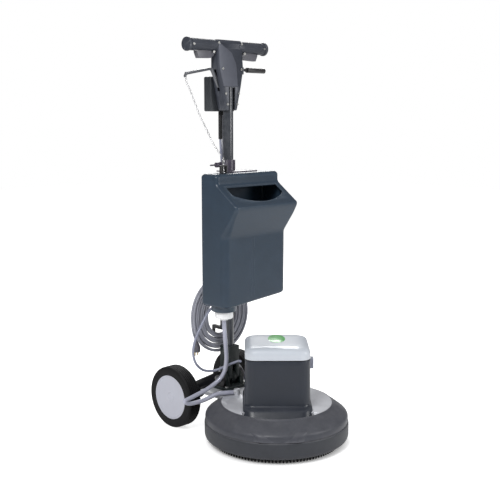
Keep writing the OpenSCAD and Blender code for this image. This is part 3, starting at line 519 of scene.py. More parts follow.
MESH = "NodeSocketGeometry"
links, gin, gout = group_with("chain_links", "GeometryNodeTree",
    [("Line", MESH, None), ("Pitch", FLOAT, 0.0078), ("Link half length", FLOAT, 0.0051),
     ("Link half width", FLOAT, 0.0024), ("Wire radius", FLOAT, 0.0008),
    ("Material", "NodeSocketMaterial", None)], [("Chain", MESH)])
rail = node_set(links, "GeometryNodeMeshToCurve", ins={"Mesh": gin.outputs["Line"]})
spots = node_set(links, "GeometryNodeResampleCurve", props={"mode": "LENGTH"},
    ins={"Curve": rail.outputs[0], "Length": gin.outputs["Pitch"]})
ring = node_set(links, "GeometryNodeCurvePrimitiveCircle", ins={"Resolution": 14, "Radius": 1.0})
oval = node_set(links, "ShaderNodeCombineXYZ", ins={0: gin.outputs["Link half length"],
    1: gin.outputs["Link half width"], 2: 1.0})
long = node_set(links, "GeometryNodeTransform", ins={"Geometry": ring.outputs[0],
    "Scale": oval.outputs[0]})
wire = node_set(links, "GeometryNodeCurvePrimitiveCircle", ins={"Resolution": 6,
    "Radius": gin.outputs["Wire radius"]})
link = node_set(links, "GeometryNodeCurveToMesh",
    ins={"Curve": long.outputs[0], "Profile Curve": wire.outputs[0]})
aim = node_set(links, "FunctionNodeAlignRotationToVector", props={"axis": "X"},
    ins={"Vector": links.nodes.new("GeometryNodeInputTangent").outputs[0]})
quarters = calc(links, "MULTIPLY", links.nodes.new("GeometryNodeInputIndex").outputs[0], math.pi / 2)
quarter = node_set(links, "FunctionNodeAxisAngleToRotation", ins={"Axis": (1, 0, 0), "Angle": quarters})
rolled = node_set(links, "FunctionNodeRotateRotation", props={"rotation_space": "LOCAL"},
    ins={0: aim.outputs[0], 1: quarter.outputs[0]})
hung = node_set(links, "GeometryNodeInstanceOnPoints",
    ins={"Points": spots.outputs[0], "Instance": link.outputs[0], "Rotation": rolled.outputs[0]})
ended(links, gin, gout, hung.outputs[0])
rail_mesh = bpy.data.meshes.new("chain_rail")
rail_edges = [(i, i + 1) for i in range(len(chain_route) - 1)]
rail_mesh.from_pydata([tuple(p) for p in chain_route], rail_edges, [])
chain = grown("chain_links", links, {"Material": plated}, rail_mesh)
ride_as(chain, "chain", "chain", "pull_chain")


# ---- Bumper band and shroud ----
# The dome is one moulding in dark grey plastic, with a painted highlight along its ridge round the cast
# plate.
# A separate rubber band is stretched round its foot to save walls and skirting.

# The pale edge colour paints a highlight on the ridges and edges of the dome and its lobe
shroud_grey = finish("shroud_plastic", (0.048, 0.051, 0.064), 0.40, size=0.0013, depth=0.00008,
    uneven=0.22, worn_and_highlight=(0.30, 0.30, 0.33), film=0.22, specular=0.35)
band_rubber = finish("band_rubber", (0.032, 0.035, 0.044), 0.50, size=0.0012, depth=0.00008, uneven=0.25,
    film=0.3)

band = turned("bumper_band", [(217.2, 18.6), (219.5, 18), (221.4, 18.8), (223.2, 20.8), (224.6, 24),
    (225.4, 28), (225.5, 60), (225.2, 64), (224.4, 66.6), (223.2, 68), (221.4, 68.5), (217.2, 68.5)],
    band_rubber, steps=180)
ride_as(band, "deck", "bumper_band", "bumper_band")


def rounded(half, back, front, radius, height, corners=8, front_radius=None):
    """Points round a rectangle with round corners, in mm: half width, back, front, corner radius."""
    other = radius if front_radius is None else front_radius
    points = []
    middles = ((half - other, front - other, other, 0), (other - half, front - other, other, 90),
               (radius - half, back + radius, radius, 180), (half - radius, back + radius, radius, 270))
    for cx, cy, r, start in middles:
        for k in range(corners + 1):
            a = math.radians(start + 90 * k / corners)
            points.append(Vector((cx + r * math.cos(a), cy + r * math.sin(a), height)))
    return points


def lofted(name, rings, material, turn=0.0, angle=40, lift=None):
    """A closed skin through rings of the same number of points, with flat ends."""
    n = len(rings[0])
    spin = Matrix.Rotation(math.radians(turn), 4, "Z")
    verts = []
    for ring_points in rings:
        for p in ring_points:
            q = lift(p) if lift else p
            verts.append(spin @ (q / 1000))
    faces = [(i * n + k, i * n + (k + 1) % n, (i + 1) * n + (k + 1) % n, (i + 1) * n + k)
             for i in range(len(rings) - 1) for k in range(n)]
    faces += [tuple(range(n - 1, -1, -1)), tuple(range((len(rings) - 1) * n, len(rings) * n))]
    return shaped(name, verts, faces, material, angle)


dome = turned("dome", [(213.2, 67.5), (219, 68.9), (222.6, 68.9), (223, 70), (223, 82), (222.5, 86),
    (221, 89.3), (218, 92.6), (212, 97.3), (204.5, 102.8), (197, 108.6), (189.5, 113.8), (184, 117.3),
    (180, 119.6), (177.5, 121.6), (176, 123.8), (174.8, 124.8), (173.4, 125), (172.9, 124.4), (172.8, 112),
    (180, 109), (204.5, 97), (216, 88), (218.8, 80)], shroud_grey, steps=180, angle=28)
LOBE = [(104.5, 96, 146, 30, 98.6), (104, 96, 168, 34, 98.6), (102.5, 96, 187, 38, 98.2),
        (100.5, 96, 200, 41, 97.4), (98, 96, 208.5, 43, 96), (95, 96, 215, 44, 91.5),
        (91.5, 96, 219.2, 44, 86), (88.5, 96, 221.6, 44, 79), (86.5, 96, 222.6, 44, 71)]
# The lobe, the motor cover and its cap stand turned towards the machine's left front
motor_turn = 135
lobe = lofted("lobe", [rounded(*ring, 12) for ring in LOBE[::-1]], shroud_grey, turn=motor_turn)


def cut(piece, others, keep="DIFFERENCE"):
    """The piece less (or with) the others, as a plain mesh."""
    for other in others:
        step = piece.modifiers.new("cut", "BOOLEAN")
        step.operation, step.solver, step.object = keep, "EXACT", other
        ready = piece.evaluated_get(bpy.context.evaluated_depsgraph_get())
        mesh = bpy.data.meshes.new_from_object(ready)
        piece.modifiers.clear()
        piece.data = mesh
        bpy.data.objects.remove(other)
    return piece


def block(name, low, high):
    """A box between two corners in mm, for cutting."""
    (x0, y0, z0), (x1, y1, z1) = low, high
    corners = [(x, y, z) for z in (z0, z1) for x, y in ((x0, y0), (x1, y0), (x1, y1), (x0, y1))]
    faces = [(3, 2, 1, 0), (4, 5, 6, 7), (0, 1, 5, 4), (1, 2, 6, 5), (2, 3, 7, 6), (3, 0, 4, 7)]
    return shaped(name, metres(corners), faces, shroud_grey)


notch = lofted("notch", [rounded(107.6, -110, 143.4, 40, z, 12) for z in (98.7, 127)], shroud_grey,
    turn=motor_turn)
cut(dome, [notch, block("tongue_way", (-94, 60, 107), (94, 300, 127))])
dome = together("shroud", [dome, lobe])
ride_as(dome, "deck", "shroud", "shroud")


# ---- Copies of the machined and pressed pieces ----
# Castings, plates and small mouldings keep their modelled shape, and get the small edge radius
# that a casting or a pressing has, so that their edges catch the light.

def eased_copy(node, body, slot, material, radius, segments=2, angle=30):
    """A copy of a node's mesh with its edges eased by a radius in mm, fixed to its body."""
    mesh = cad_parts[node].data.copy()
    bm = bmesh.new()
    bm.from_mesh(mesh)
    bmesh.ops.remove_doubles(bm, verts=bm.verts, dist=2e-6)
    bmesh.ops.dissolve_limit(bm, angle_limit=math.radians(1.0), verts=bm.verts, edges=bm.edges)
    bm.to_mesh(mesh)
    bm.free()
    piece = bpy.data.objects.new(node + "_skin", mesh)
    bpy.context.scene.collection.objects.link(piece)
    soft = piece.modifiers.new("edges", "BEVEL")
    soft.width, soft.segments = radius / 1000, segments
    soft.limit_method, soft.angle_limit = "ANGLE", math.radians(angle)
    soft.use_clamp_overlap, soft.harden_normals = True, False
    ready = piece.evaluated_get(bpy.context.evaluated_depsgraph_get())
    plain = bpy.data.meshes.new_from_object(ready)
    piece.modifiers.clear()
    piece.data = plain
    plain.shade_smooth()
    plain.set_sharp_from_angle(angle=math.radians(angle + 5))
    plain.materials.clear()
    plain.materials.append(material)
    return ride_as(piece, body, slot, node)


cast_silver = finish("cast_silver", (0.60, 0.61, 0.65), 0.42, metal=0.35, size=0.0016, depth=0.00009,
    uneven=0.12, rub_and_highlight=0.3, film=0.15)
eased_copy("base_plate", "deck", "cast_plate", cast_silver, 1.2)

foot_paint = finish("foot_paint", (0.006, 0.012, 0.012), 0.33, size=0.0018, depth=0.00009, uneven=0.3,
    worn_and_highlight=(0.10, 0.11, 0.11), film=0.12, specular=0.35)
eased_copy("foot_bracket", "deck", "foot_casting", foot_paint, 1.5)
eased_copy("pole_yoke", "pole", "foot_casting", foot_paint, 2.0, 3)

arm_paint = finish("arm_paint", (0.007, 0.007, 0.009), 0.36, size=0.0015, depth=0.00006,
    worn_and_highlight=(0.2, 0.2, 0.2), film=0.10, specular=0.35)
eased_copy("axle_arms", "deck", "axle_arms", arm_paint, 1.2)

zinc = finish("zinc_plate", (0.62, 0.62, 0.60), 0.30, metal=1.0, size=0.0012, depth=0.00003, uneven=0.15,
    rub_and_highlight=0.2, film=0.05)
eased_copy("deck_bolts", "deck", "bolts", zinc, 0.6)
eased_copy("pivot_pin", "deck", "pins", zinc, 0.6)


# ---- Motor cover ----
# Dark blue-grey moulded box over the motor, with rounded corners. Its foot flares out into a
# skirt with a stepped top edge, which runs forwards over the lobe of the shroud.

cover_grey = finish("cover_plastic", (0.017, 0.022, 0.034), 0.34, size=0.0012, depth=0.00006, uneven=0.2,
    worn_and_highlight=(0.2, 0.21, 0.24), film=0.12)
COVER = [(98.2, -98.2, 98.2, 29, 278), (98.6, -98.6, 98.6, 29.6, 277), (98.8, -98.8, 98.9, 30, 262),
         (99.6, -99.6, 100, 30, 200), (100.2, -100.2, 101.2, 30, 146), (100.6, -100.6, 102.6, 30, 140),
         (101.4, -101.6, 105.5, 31, 136.6), (103, -104.6, 113.5, 32, 134.8),
         (104.4, -106.6, 120, 33, 133.6), (105.2, -107.5, 123.4, 34, 131.8),
         (105.6, -107.9, 126, 35, 128.5), (106, -108.2, 131, 36, 122),
         (106.4, -108.4, 137.5, 38, 114), (106.4, -108.5, 142.4, 39, 107.5),
         (106.2, -108.4, 142.5, 39, 102), (105.6, -107.7, 142, 39, 100.8)]
cover = lofted("motor_cover_skin", [rounded(*ring, 12) for ring in COVER[::-1]], cover_grey,
    turn=motor_turn, angle=50)
ride_as(cover, "deck", "motor_cover", "motor_cover")
# A thin black strip round the cover's foot, in the gap at the shroud: painted shade for the dark line where
# the two meet
gap_shade_black = finish("gap_shade_black", (0.006, 0.006, 0.007), 0.7, film=0.03, specular=0.2)
gap_shade_line = lofted("cover_gap_shade", [rounded(107.1, -109.4, 142.9, 39.6, z, 12) for z in (98.9, 101.9)],
    gap_shade_black, turn=motor_turn)
ride_as(gap_shade_line, "deck", "motor_cover")


# ---- Motor cap ----
# Pale grey glossy lid that sits over the top of the cover, with a soft crowned top. An oval
# badge of plain green is stuck on its front slope.

cap_grey = finish("cap_plastic", (0.56, 0.60, 0.66), 0.30, size=0.002, depth=0.00003, uneven=0.02,
    spread=0.03, worn_and_highlight=(0.75, 0.76, 0.78), film=0.03, coat=0.2, specular=0.35)
CAP = [(98.6, -98.6, 98.6, 31, 281), (99.5, -99.5, 99.5, 32, 281.6), (99.5, -99.5, 99.5, 32, 297),
       (98.8, -98.8, 98.8, 32, 302.5), (97, -97, 97, 31.5, 307), (94.4, -94.4, 94.4, 31, 310.3),
       (90.6, -90.6, 90.6, 30.5, 312.9), (85.5, -85.5, 85.5, 30, 314.6), (78, -78, 78, 29, 315.7),
       (60, -60, 60, 26, 316.6), (30, -30, 30, 16, 317)]
cap = lofted("motor_cap_skin", [rounded(*ring, 12) for ring in CAP], cap_grey, turn=motor_turn, angle=50)
ride_as(cap, "deck", "motor_cap", "motor_cap")

seam_black = finish("seam_rubber", (0.008, 0.008, 0.009), 0.7, film=0.05)
gasket = lofted("cap_gasket", [rounded(96, -96, 96, 28, z, 12) for z in (276, 283)], seam_black,
    turn=motor_turn)
ride_as(gasket, "deck", "motor_cap")

badge_green = finish("badge_green", (0.045, 0.42, 0.055), 0.3, size=0.003, depth=0.00002, uneven=0.1,
    rub_and_highlight=0, film=0.0, coat=0.3)
round_badge = [2 * math.pi * k / 48 for k in range(48)]
oval = [[Vector((27 * s * math.cos(a), 50 * s * math.sin(a) - 27, z)) for a in round_badge]
        for s, z in ((1, 314), (1, 317.3), (0.95, 317.8))]
badge = lofted("cap_badge", oval, badge_green, turn=motor_turn)
ride_as(badge, "deck", "motor_cap")

gland_grey = finish("gland_plastic", (0.30, 0.32, 0.40), 0.35, uneven=0.08, film=0.05)
eased_copy("cable_gland", "deck", "cable_gland", gland_grey, 1.6, 3)


# ---- Brush ----
# A moulded block with some seven hundred and forty tufts of black nylon, spread evenly and with a
# closer row round the rim, splayed by wear. A plate on top of the block takes the drive.

block_blue = finish("block_plastic", (0.020, 0.024, 0.032), 0.5, film=0.2)
brush_top = turned("brush_block_skin", [(30, 40), (192.5, 40), (194, 41.5), (194, 56.5), (192.5, 58),
    (30, 58)], block_blue, steps=128)
ride_as(brush_top, "brush", "brush_block", "brush_block")

tufts, gin, gout = group_with("brush_tufts", "GeometryNodeTree",
    [("Seed mesh", MESH, None), ("Outer radius", FLOAT, 0.198), ("Inner radius", FLOAT, 0.064),
     ("Tufts inside", "NodeSocketInt", 620), ("Tufts round the rim", "NodeSocketInt", 118),
     ("Tuft length", FLOAT, 0.0402), ("Tuft root", FLOAT, 0.0040), ("Tuft tip", FLOAT, 0.0022),
     ("Splay", FLOAT, 0.06), ("Seed", "NodeSocketInt", 7), ("Material", "NodeSocketMaterial", None)],
     [("Tufts", MESH)])
rim_band = 0.009
golden_angle = 2.39996323
full_turn = 6.28
index = tufts.nodes.new("GeometryNodeInputIndex").outputs[0]
inner2 = calc(tufts, "POWER", gin.outputs["Inner radius"], 2.0)
within = calc(tufts, "SUBTRACT", gin.outputs["Outer radius"], rim_band)
span = calc(tufts, "SUBTRACT", calc(tufts, "POWER", within, 2.0), inner2)
fraction = calc(tufts, "DIVIDE", index, gin.outputs["Tufts inside"])
reach = calc(tufts, "SQRT", calc(tufts, "MULTIPLY_ADD", fraction, span, inner2))
swing = calc(tufts, "MULTIPLY", index, golden_angle)
across = calc(tufts, "MULTIPLY", reach, calc(tufts, "COSINE", swing))
along = calc(tufts, "MULTIPLY", reach, calc(tufts, "SINE", swing))
place = node_set(tufts, "ShaderNodeCombineXYZ", ins={0: across, 1: along, 2: 0.0006})
inside = node_set(tufts, "GeometryNodePoints",
    ins={"Count": gin.outputs["Tufts inside"], "Position": place.outputs[0]})
rim = node_set(tufts, "GeometryNodeMeshCircle", ins={"Vertices": gin.outputs["Tufts round the rim"],
    "Radius": gin.outputs["Outer radius"]})
raised = node_set(tufts, "GeometryNodeSetPosition", ins={"Geometry": rim.outputs[0],
    "Offset": (0, 0, 0.0004)})
rim_points = node_set(tufts, "GeometryNodeMeshToPoints", ins={0: raised.outputs[0]})
sites = tufts.nodes.new("GeometryNodeJoinGeometry")
tufts.links.new(inside.outputs[0], sites.inputs[0])
tufts.links.new(rim_points.outputs[0], sites.inputs[0])
tuft = node_set(tufts, "GeometryNodeMeshCone", ins={"Vertices": 7, "Radius Top": gin.outputs["Tuft root"],
    "Radius Bottom": gin.outputs["Tuft tip"], "Depth": gin.outputs["Tuft length"]})
low_splay = calc(tufts, "MULTIPLY", gin.outputs["Splay"], -1.0)
low_lean = node_set(tufts, "ShaderNodeCombineXYZ", ins={0: low_splay, 1: low_splay, 2: 0.0})
high_lean = node_set(tufts, "ShaderNodeCombineXYZ", ins={0: gin.outputs["Splay"], 1: gin.outputs["Splay"],
    2: full_turn})
lean = node_set(tufts, "FunctionNodeRandomValue", props={"data_type": "FLOAT_VECTOR"},
    ins={0: low_lean.outputs[0], 1: high_lean.outputs[0], "Seed": gin.outputs["Seed"]})
stood = node_set(tufts, "GeometryNodeInstanceOnPoints",
    ins={"Points": sites.outputs[0], "Instance": tuft.outputs[0], "Rotation": lean.outputs[0]})
ended(tufts, gin, gout, stood.outputs[0])
nylon = finish("nylon_tufts", (0.006, 0.006, 0.007), 0.42, size=0.0006, depth=0.0002, uneven=0.3, rub_and_highlight=0,
    film=0.0)
brush = grown("bristle_tufts", tufts, {"Material": nylon}, bpy.data.meshes.new("brush_seed"))
ride_as(brush, "brush", "bristles", "bristles")


# ---- Wheels ----
# Grooved rubber tyres on flat moulded discs. Each disc has a shallow dish, a rolled rim and a
# cap over the axle's end.

tyre_black = finish("tyre_rubber", (0.006, 0.006, 0.007), 0.62, size=0.0012, depth=0.0001, uneven=0.25,
    rub_and_highlight=0.2, film=0.10, specular=0.2)
hub_grey = finish("hub_plastic", (0.50, 0.51, 0.58), 0.36, size=0.0016, depth=0.00004, uneven=0.06,
    rub_and_highlight=0.2, film=0.08)
TREAD = [(72.2, 0.6), (92, 0.2), (95.5, 0.6), (98, 1.8), (99.5, 3.8), (100, 6)]
for k in range(5):
    at = 9.2 + 7.2 * k
    TREAD += [(100, at - 1.7), (99.6, at - 1.2), (96.6, at - 0.7), (96.6, at + 0.7), (99.6, at + 1.2),
              (100, at + 1.7)]
TREAD += [(100, 42), (99.5, 44.2), (98, 46.2), (95.5, 47.4), (92, 47.8), (72.2, 47.4)]
HUB = [(0, 2.6), (12, 2.6), (13, 1.4), (15, 1.2), (16, 2.4), (17.4, 2.8), (40, 2.7), (62, 2.5), (66, 2.2),
       (68, 0.7), (69.5, 0), (71, 0), (72.1, 0.9), (72.1, 44), (66.5, 44), (66.5, 5), (20, 5), (20, 46),
       (10.1, 46), (10.1, 5.2), (0, 5.2)]
wheel_y, wheel_z = 320, 100
for side, axis, x in (("left", "X", -165), ("right", "-X", 165)):
    place = (x, wheel_y, wheel_z)
    tyre = turned(side + "_tyre_skin", TREAD, tyre_black, place, axis, steps=144, angle=30)
    ride_as(tyre, side + "_wheel", "tyres", side + "_tyre")
    disc = turned(side + "_hub_skin", HUB, hub_grey, place, axis, steps=128, angle=30)
    ride_as(disc, side + "_wheel", "hubs", side + "_hub")


# ---- Pole ----
# A welded steel tube, 32 mm across, with a glossy dark paint. It stands in the yoke and runs up
# into the head, and the tank, the hooks and the cables are carried on it.

pole_paint = finish("pole_paint", (0.012, 0.017, 0.025), 0.16, size=0.003, depth=0.00003, uneven=0.12,
    worn_and_highlight=(0.3, 0.3, 0.32), film=0.05, coat=0.4)
pole = turned("pole_skin", [(13.5, 206), (15.6, 206), (16, 206.5), (16, 1139.5), (15.6, 1140),
    (13.5, 1140)], pole_paint, (0, 213, 0), steps=64)
ride_as(pole, "pole", "pole", "pole_tube")


# ---- Solution tank ----
# One rotational moulding in blue-grey polyethylene, with soft corners, a filling lip that slopes
# out over the front, and a sump under its left side. The wall is 4.5 mm and the mouth is open.

tank_blue = finish("tank_skin", (0.021, 0.039, 0.064), 0.36, size=0.0022, depth=0.00010, uneven=0.16,
    spread=0.12, worn_and_highlight=(0.22, 0.27, 0.33), rub_and_highlight=0.35, film=0.06, specular=0.5)
tank_half, tank_back, tank_wall = 138, 195, 4.5


def tank_front(z):
    """How far forward the tank's front stands at a height, in mm."""
    line = [(415, 85), (637, 85), (643, 84.2), (649, 82), (656, 78), (668, 71), (700, 52.6), (718, 42.2),
            (726, 38), (731, 36.4), (735, 36), (738.5, 37.2), (741, 40), (744, 44.8), (793, 112.6),
            (796, 116), (799.5, 119), (803, 120.5), (808, 121), (840, 121)]
    for (z0, y0), (z1, y1) in zip(line, line[1:]):
        if z <= z1:
            return y0 + (y1 - y0) * (z - z0) / (z1 - z0)
    return line[-1][1]


def round_edge(radius, angles):
    """Heights and insets round an edge of a radius, at some angles."""
    ways = [math.radians(a) for a in angles]
    return [(radius * (1 - math.cos(a)), radius * (1 - math.sin(a))) for a in ways]


def tank_rings(wall):
    """Level rings up the tank, drawn in by a wall, with rounded edges at the bottom and the top."""
    low, top = 422 + wall, 832 - wall
    levels = [(low + rise, inset) for rise, inset in round_edge(9, range(0, 91, 15))]
    levels += [(z, 0) for z in (470, 520, 580, 634, 639, 643, 647, 652, 658, 666, 680, 700, 714, 721, 726,
                                730, 733.5, 736.5, 739, 741, 744, 750, 760, 772, 784, 791, 796, 799.5, 803,
                                808, 814)]
    levels += [(top - rise, inset) for rise, inset in round_edge(12, range(90, -1, -15))]
    rings = []
    for z, inset in levels:
        # The lip's slope leans back, so its wall is wider when it is measured level
        rise = wall * 0.72 if 741 < z < 800 else 0
        y = tank_front(z + rise) + wall + inset
        half = tank_half - wall - inset
        corner = 26 - 14 * min(1, max(0, (z - 640) / 60))
        rings.append(rounded(half, y, tank_back - wall - inset, max(3, corner - wall - 0.4 * inset), z, 8,
            max(3, 11 - wall)))
    return rings


def sloped_bottom(p):
    """The bottom rises by 19 mm from the left side to the right."""
    share = min(1, max(0, (470 - p.z) / 38))
    return p + Vector((0, 0, 19 * (p.x + tank_half) / (2 * tank_half) * share))


tank = lofted("tank_skin_piece", tank_rings(0), tank_blue, lift=sloped_bottom, angle=32)
hollow = lofted("tank_hollow", tank_rings(tank_wall), tank_blue, lift=sloped_bottom, angle=32)


def mouth_line(grow, steps=10):
    """Points round the tank's mouth, seen from above: round front corners and tight back ones."""
    half, back, small, side, middle, curve = 112 + grow, 115.5 + grow, 5 + grow, 14, 289, 238 + grow
    points = []

    def corner(cx, cy, radius, start, end):
        for k in range(steps + 1):
            a = math.radians(start + (end - start) * k / steps)
            points.append((cx + radius * math.cos(a), cy + radius * math.sin(a)))

    corner(half - small, back - small, small, 0, 90)
    corner(small - half, back - small, small, 90, 180)
    reach = math.asin((half - side) / (curve - side))
    for sign in (-1, 1):
        cx, cy = sign * (half - side), middle - (curve - side) * math.cos(reach)
        turn = [180, 270 - math.degrees(reach)] if sign < 0 else [270 + math.degrees(reach), 360]
        corner(cx, cy, side, *turn)
        if sign < 0:
            points += [(curve * math.sin(a), middle - curve * math.cos(a)) for a in
                       [reach * (k / 15 - 1) for k in range(1, 30)]]
    return points


mouth = lofted("mouth", [[Vector((x, y, z)) for x, y in mouth_line(0)] for z in (716, 812)], tank_blue)
cut(tank, [hollow, mouth])
# A bead runs round the mouth, on the slope of the filling lip
lip_rise = 0.7215
bead_radius, bead_sides = 0.0026, 10
rim_points = [Vector((x / 1000, y / 1000, (741.6 + (min(y, 112) - 42) * lip_rise) / 1000 - 0.0011))
              for x, y in mouth_line(0.6)]
bead_count = len(rim_points)
rim_verts, rim_faces = [], []
slope_up = Vector((0, -0.585, 0.811))
for i, p in enumerate(rim_points):
    after = (i + 1) % bead_count
    way = (rim_points[after] - rim_points[i - 1]).normalized()
    outwards = way.cross(slope_up).normalized()
    for k in range(bead_sides):
        a = 2 * math.pi * k / bead_sides
        rim_verts.append(p + bead_radius * (math.cos(a) * outwards + math.sin(a) * slope_up))
        m = (k + 1) % bead_sides
        rim_faces.append((i * bead_sides + k, after * bead_sides + k, after * bead_sides + m,
            i * bead_sides + m))
tank_rim = shaped("tank_rim", rim_verts, rim_faces, tank_blue, 60)
sump_place = (-87, 145, 0)
sump = turned("tank_sump", [(12, 403), (34, 403), (37.4, 404.4), (39, 408), (39, 436), (12, 436)],
    tank_blue, sump_place, steps=72)
seams = [lofted("mould_seam", [rounded(0.45, -0.3, 0.3, 0.1, z, 2) for z in (452, 634)], tank_blue,
    lift=lambda p, x=x: p + Vector((x, 84.95, 0))) for x in (-24, -12)]
even = tank.modifiers.new("even_normals", "WEIGHTED_NORMAL")
even.keep_sharp = True
tank.data = bpy.data.meshes.new_from_object(tank.evaluated_get(bpy.context.evaluated_depsgraph_get()))
tank.modifiers.clear()
tank = together("solution_tank", [tank, tank_rim, sump] + seams)
ride_as(tank, "pole", "tank", "tank_shell")


# ---- Tank holder, valve and outlet ----
# A painted collar and plate clamp the tank's top to the pole, with a turning knob. The valve's
# plated rod stands in a small black guide over the sump, pushed down by a coil spring.

collar_paint = finish("collar_paint", (0.055, 0.046, 0.070), 0.34, size=0.002, depth=0.00006,
    worn_and_highlight=(0.3, 0.28, 0.33), film=0.2)
eased_copy("tank_hanger", "pole", "hanger", collar_paint, 1.2)
eased_copy("clamp_knob", "knob", "hanger", collar_paint, 0.8)
black_steel = finish("black_steel", (0.010, 0.010, 0.012), 0.34, size=0.0014, depth=0.00006,
    worn_and_highlight=(0.2, 0.2, 0.2), film=0.15)
eased_copy("rod_guide", "pole", "black_steel", black_steel, 0.5)
eased_copy("valve_rod", "valve", "chain", plated, 0.5)
outlet_white = finish("outlet_plastic", (0.95, 0.95, 0.96), 0.32, size=0.002, depth=0.00004, uneven=0.04,
    rub_and_highlight=0.2, film=0.05)
outlet = turned("outlet_skin", [(5, 375), (13, 375), (14.5, 376.5), (14.5, 381), (26.5, 381), (28, 382.2),
    (28.5, 384), (28.5, 399), (27.8, 401.6), (26, 403), (12, 403), (12, 436), (8, 436), (8, 385),
    (5, 385)], outlet_white, sump_place, steps=72)


def on_nut(p, a):
    """A point of a grip, moved out to the nut's side at an angle round it."""
    away = 27.9 + p.y
    x = sump_place[0] + away * math.cos(a) - p.x * math.sin(a)
    y = sump_place[1] + away * math.sin(a) + p.x * math.cos(a)
    return Vector((x, y, p.z))


nut_pieces = [outlet]
grip_count = 18
for k in range(grip_count):
    grip_rings = [rounded(1.3, -0.8, 0.8, 0.5, z, 2) for z in (384.5, 398.5)]
    nut_pieces.append(lofted("outlet_grip", grip_rings, outlet_white,
        lift=lambda p, a=2 * math.pi * k / grip_count: on_nut(p, a)))
outlet = together("outlet_nut", nut_pieces)
ride_as(outlet, "pole", "outlet", "outlet_fitting")

spring_steel = finish("spring_steel", (0.05, 0.05, 0.055), 0.3, metal=0.8, size=0.001, depth=0.00002,
    film=0.0)
coil_radius, coil_rise, coil_turns = 0.006, 0.0162, 5
coil = []
for k in range(161):
    a = 2 * math.pi * coil_turns * k / 160
    coil.append(Vector((-0.087 + coil_radius * math.cos(a), 0.145 + coil_radius * math.sin(a),
                        0.8368 + coil_rise * a / (2 * math.pi * coil_turns))))
spring = swept("valve_spring_coil", coil, 0.0013, spring_steel, 8)
ride_as(spring, "pole", "spring", "valve_spring")
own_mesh(spring)


# ---- Handle head ----
# Two moulded half shells in dark grey, screwed together round the pole. A lighter grey panel
# stands proud on the front, and the grips are part of the same mouldings.

head_grey = finish("head_plastic", (0.033, 0.038, 0.052), 0.40, size=0.0014, depth=0.00008, uneven=0.2,
    worn_and_highlight=(0.30, 0.31, 0.34), rub_and_highlight=0.8, film=0.12, specular=0.35)
pad_grey = finish("pad_plastic", (0.098, 0.105, 0.130), 0.42, size=0.0012, depth=0.00008, uneven=0.2,
    worn_and_highlight=(0.50, 0.51, 0.54), rub_and_highlight=0.0, film=0.1, specular=0.3)
HEAD = [(1023, 24, 196.6, 1.8), (1024.2, 24.5, 195.6, 0.8), (1026, 25, 194.9, 0), (1050, 30.2, 194.6, 0),
        (1097, 41.5, 194, 0), (1125, 48, 195, 0), (1150, 54, 196, 0), (1180, 54, 198.7, 0),
        (1210, 54, 201.4, 0), (1228, 54, 203.1, 0), (1233, 54, 203.7, 0.6), (1236, 54, 204.4, 2),
        (1238, 54, 205.5, 4.4)]


def head_loft(name, wall, forwards, material):
    """The head's skin, drawn in by a wall and with its front brought forwards."""
    low, top, back = HEAD[0][0] + wall, HEAD[-1][0] - wall, 236 - wall
    rings = []
    for z, half, front, inset in HEAD:
        z = min(max(z, low), top)
        rings.append(rounded(half - wall - 0.6 * inset, front + wall - forwards, back - 0.6 * inset,
            max(1, 7 - wall), z + len(rings) * 1e-4, 6))
    return lofted(name, rings, material, angle=32)


def grip_profile():
    """Half of the bar's outline along X, from the head to the end flange, with shallow ribs."""
    line = [(0, 40), (18.5, 40), (18.5, 64)]
    for k in range(21):
        at = 67 + 4.4 * k
        line += [(18.5, at - 1.6), (18.1, at - 1.1), (18.1, at + 1.1), (18.5, at + 1.6)]
    flange = [(20, 160.3), (20.8, 161), (21, 162), (21, 167), (20.4, 168.2), (19.2, 168.5), (0, 168.5)]
    return line + [(18.5, 160)] + flange


bar_place = (0, 219, 1219)


def head_half(name, material, low_y, high_y):
    """One half shell: the head and both grips, less the inside, the other half and the openings."""
    parts = [head_loft("shell", 0, 0, material)]
    for axis in ("X", "-X"):
        parts.append(turned("grip", grip_profile(), material, bar_place, axis, steps=64, angle=30))
    parts.append(block("boss", (48, 206, 1136), (63, 226, 1158)))
    shell = cut(parts[0], parts[1:], keep="UNION")
    bore_line = [(0, -158), (15, -158), (15, 158), (0, 158)]
    inner = [head_loft("inside", 3.5, 0, material),
             turned("bore", bore_line, material, bar_place, "X", steps=48)]
    openings = [block("pole_slot", (-14, 150, 1010), (14, 213, 1094)),
                block("pole_way", (-16.4, 200, 1000), (16.4, 230, 1040)),
                block("trigger_slot_l", (-134, 210, 1150), (-56, 228, 1215)),
                block("trigger_slot_r", (56, 210, 1150), (134, 228, 1215)),
                block("lever_slot", (-90, 210, 1082), (-30, 220, 1148)),
                block("adjust_slot", (40, 210, 1140), (90, 220.5, 1156))]
    waste = [block("other_half", (-220, low_y, 990), (220, high_y, 1300))]
    shell = cut(shell, inner + openings + waste)
    shell.name = name
    shell.data.materials.clear()
    shell.data.materials.append(material)
    return shell


def softened(piece, radius, angle=40, segments=2):
    """The piece with its edges eased, as a plain mesh."""
    soft = piece.modifiers.new("edges", "BEVEL")
    soft.width, soft.segments, soft.use_clamp_overlap = radius / 1000, segments, True
    soft.limit_method, soft.angle_limit = "ANGLE", math.radians(angle)
    ready = piece.evaluated_get(bpy.context.evaluated_depsgraph_get())
    plain = bpy.data.meshes.new_from_object(ready)
    piece.modifiers.clear()
    piece.data = plain
    plain.shade_smooth()
    plain.set_sharp_from_angle(angle=math.radians(35))
    return piece


front_shell = softened(head_half("head_front_skin", head_grey, 217.7, 300), 0.5)
ride_as(front_shell, "pole", "head_shells", "head_front")
rear_shell = softened(head_half("head_rear_skin", head_grey, 100, 218.3), 0.5)
ride_as(rear_shell, "pole", "head_shells", "head_rear")

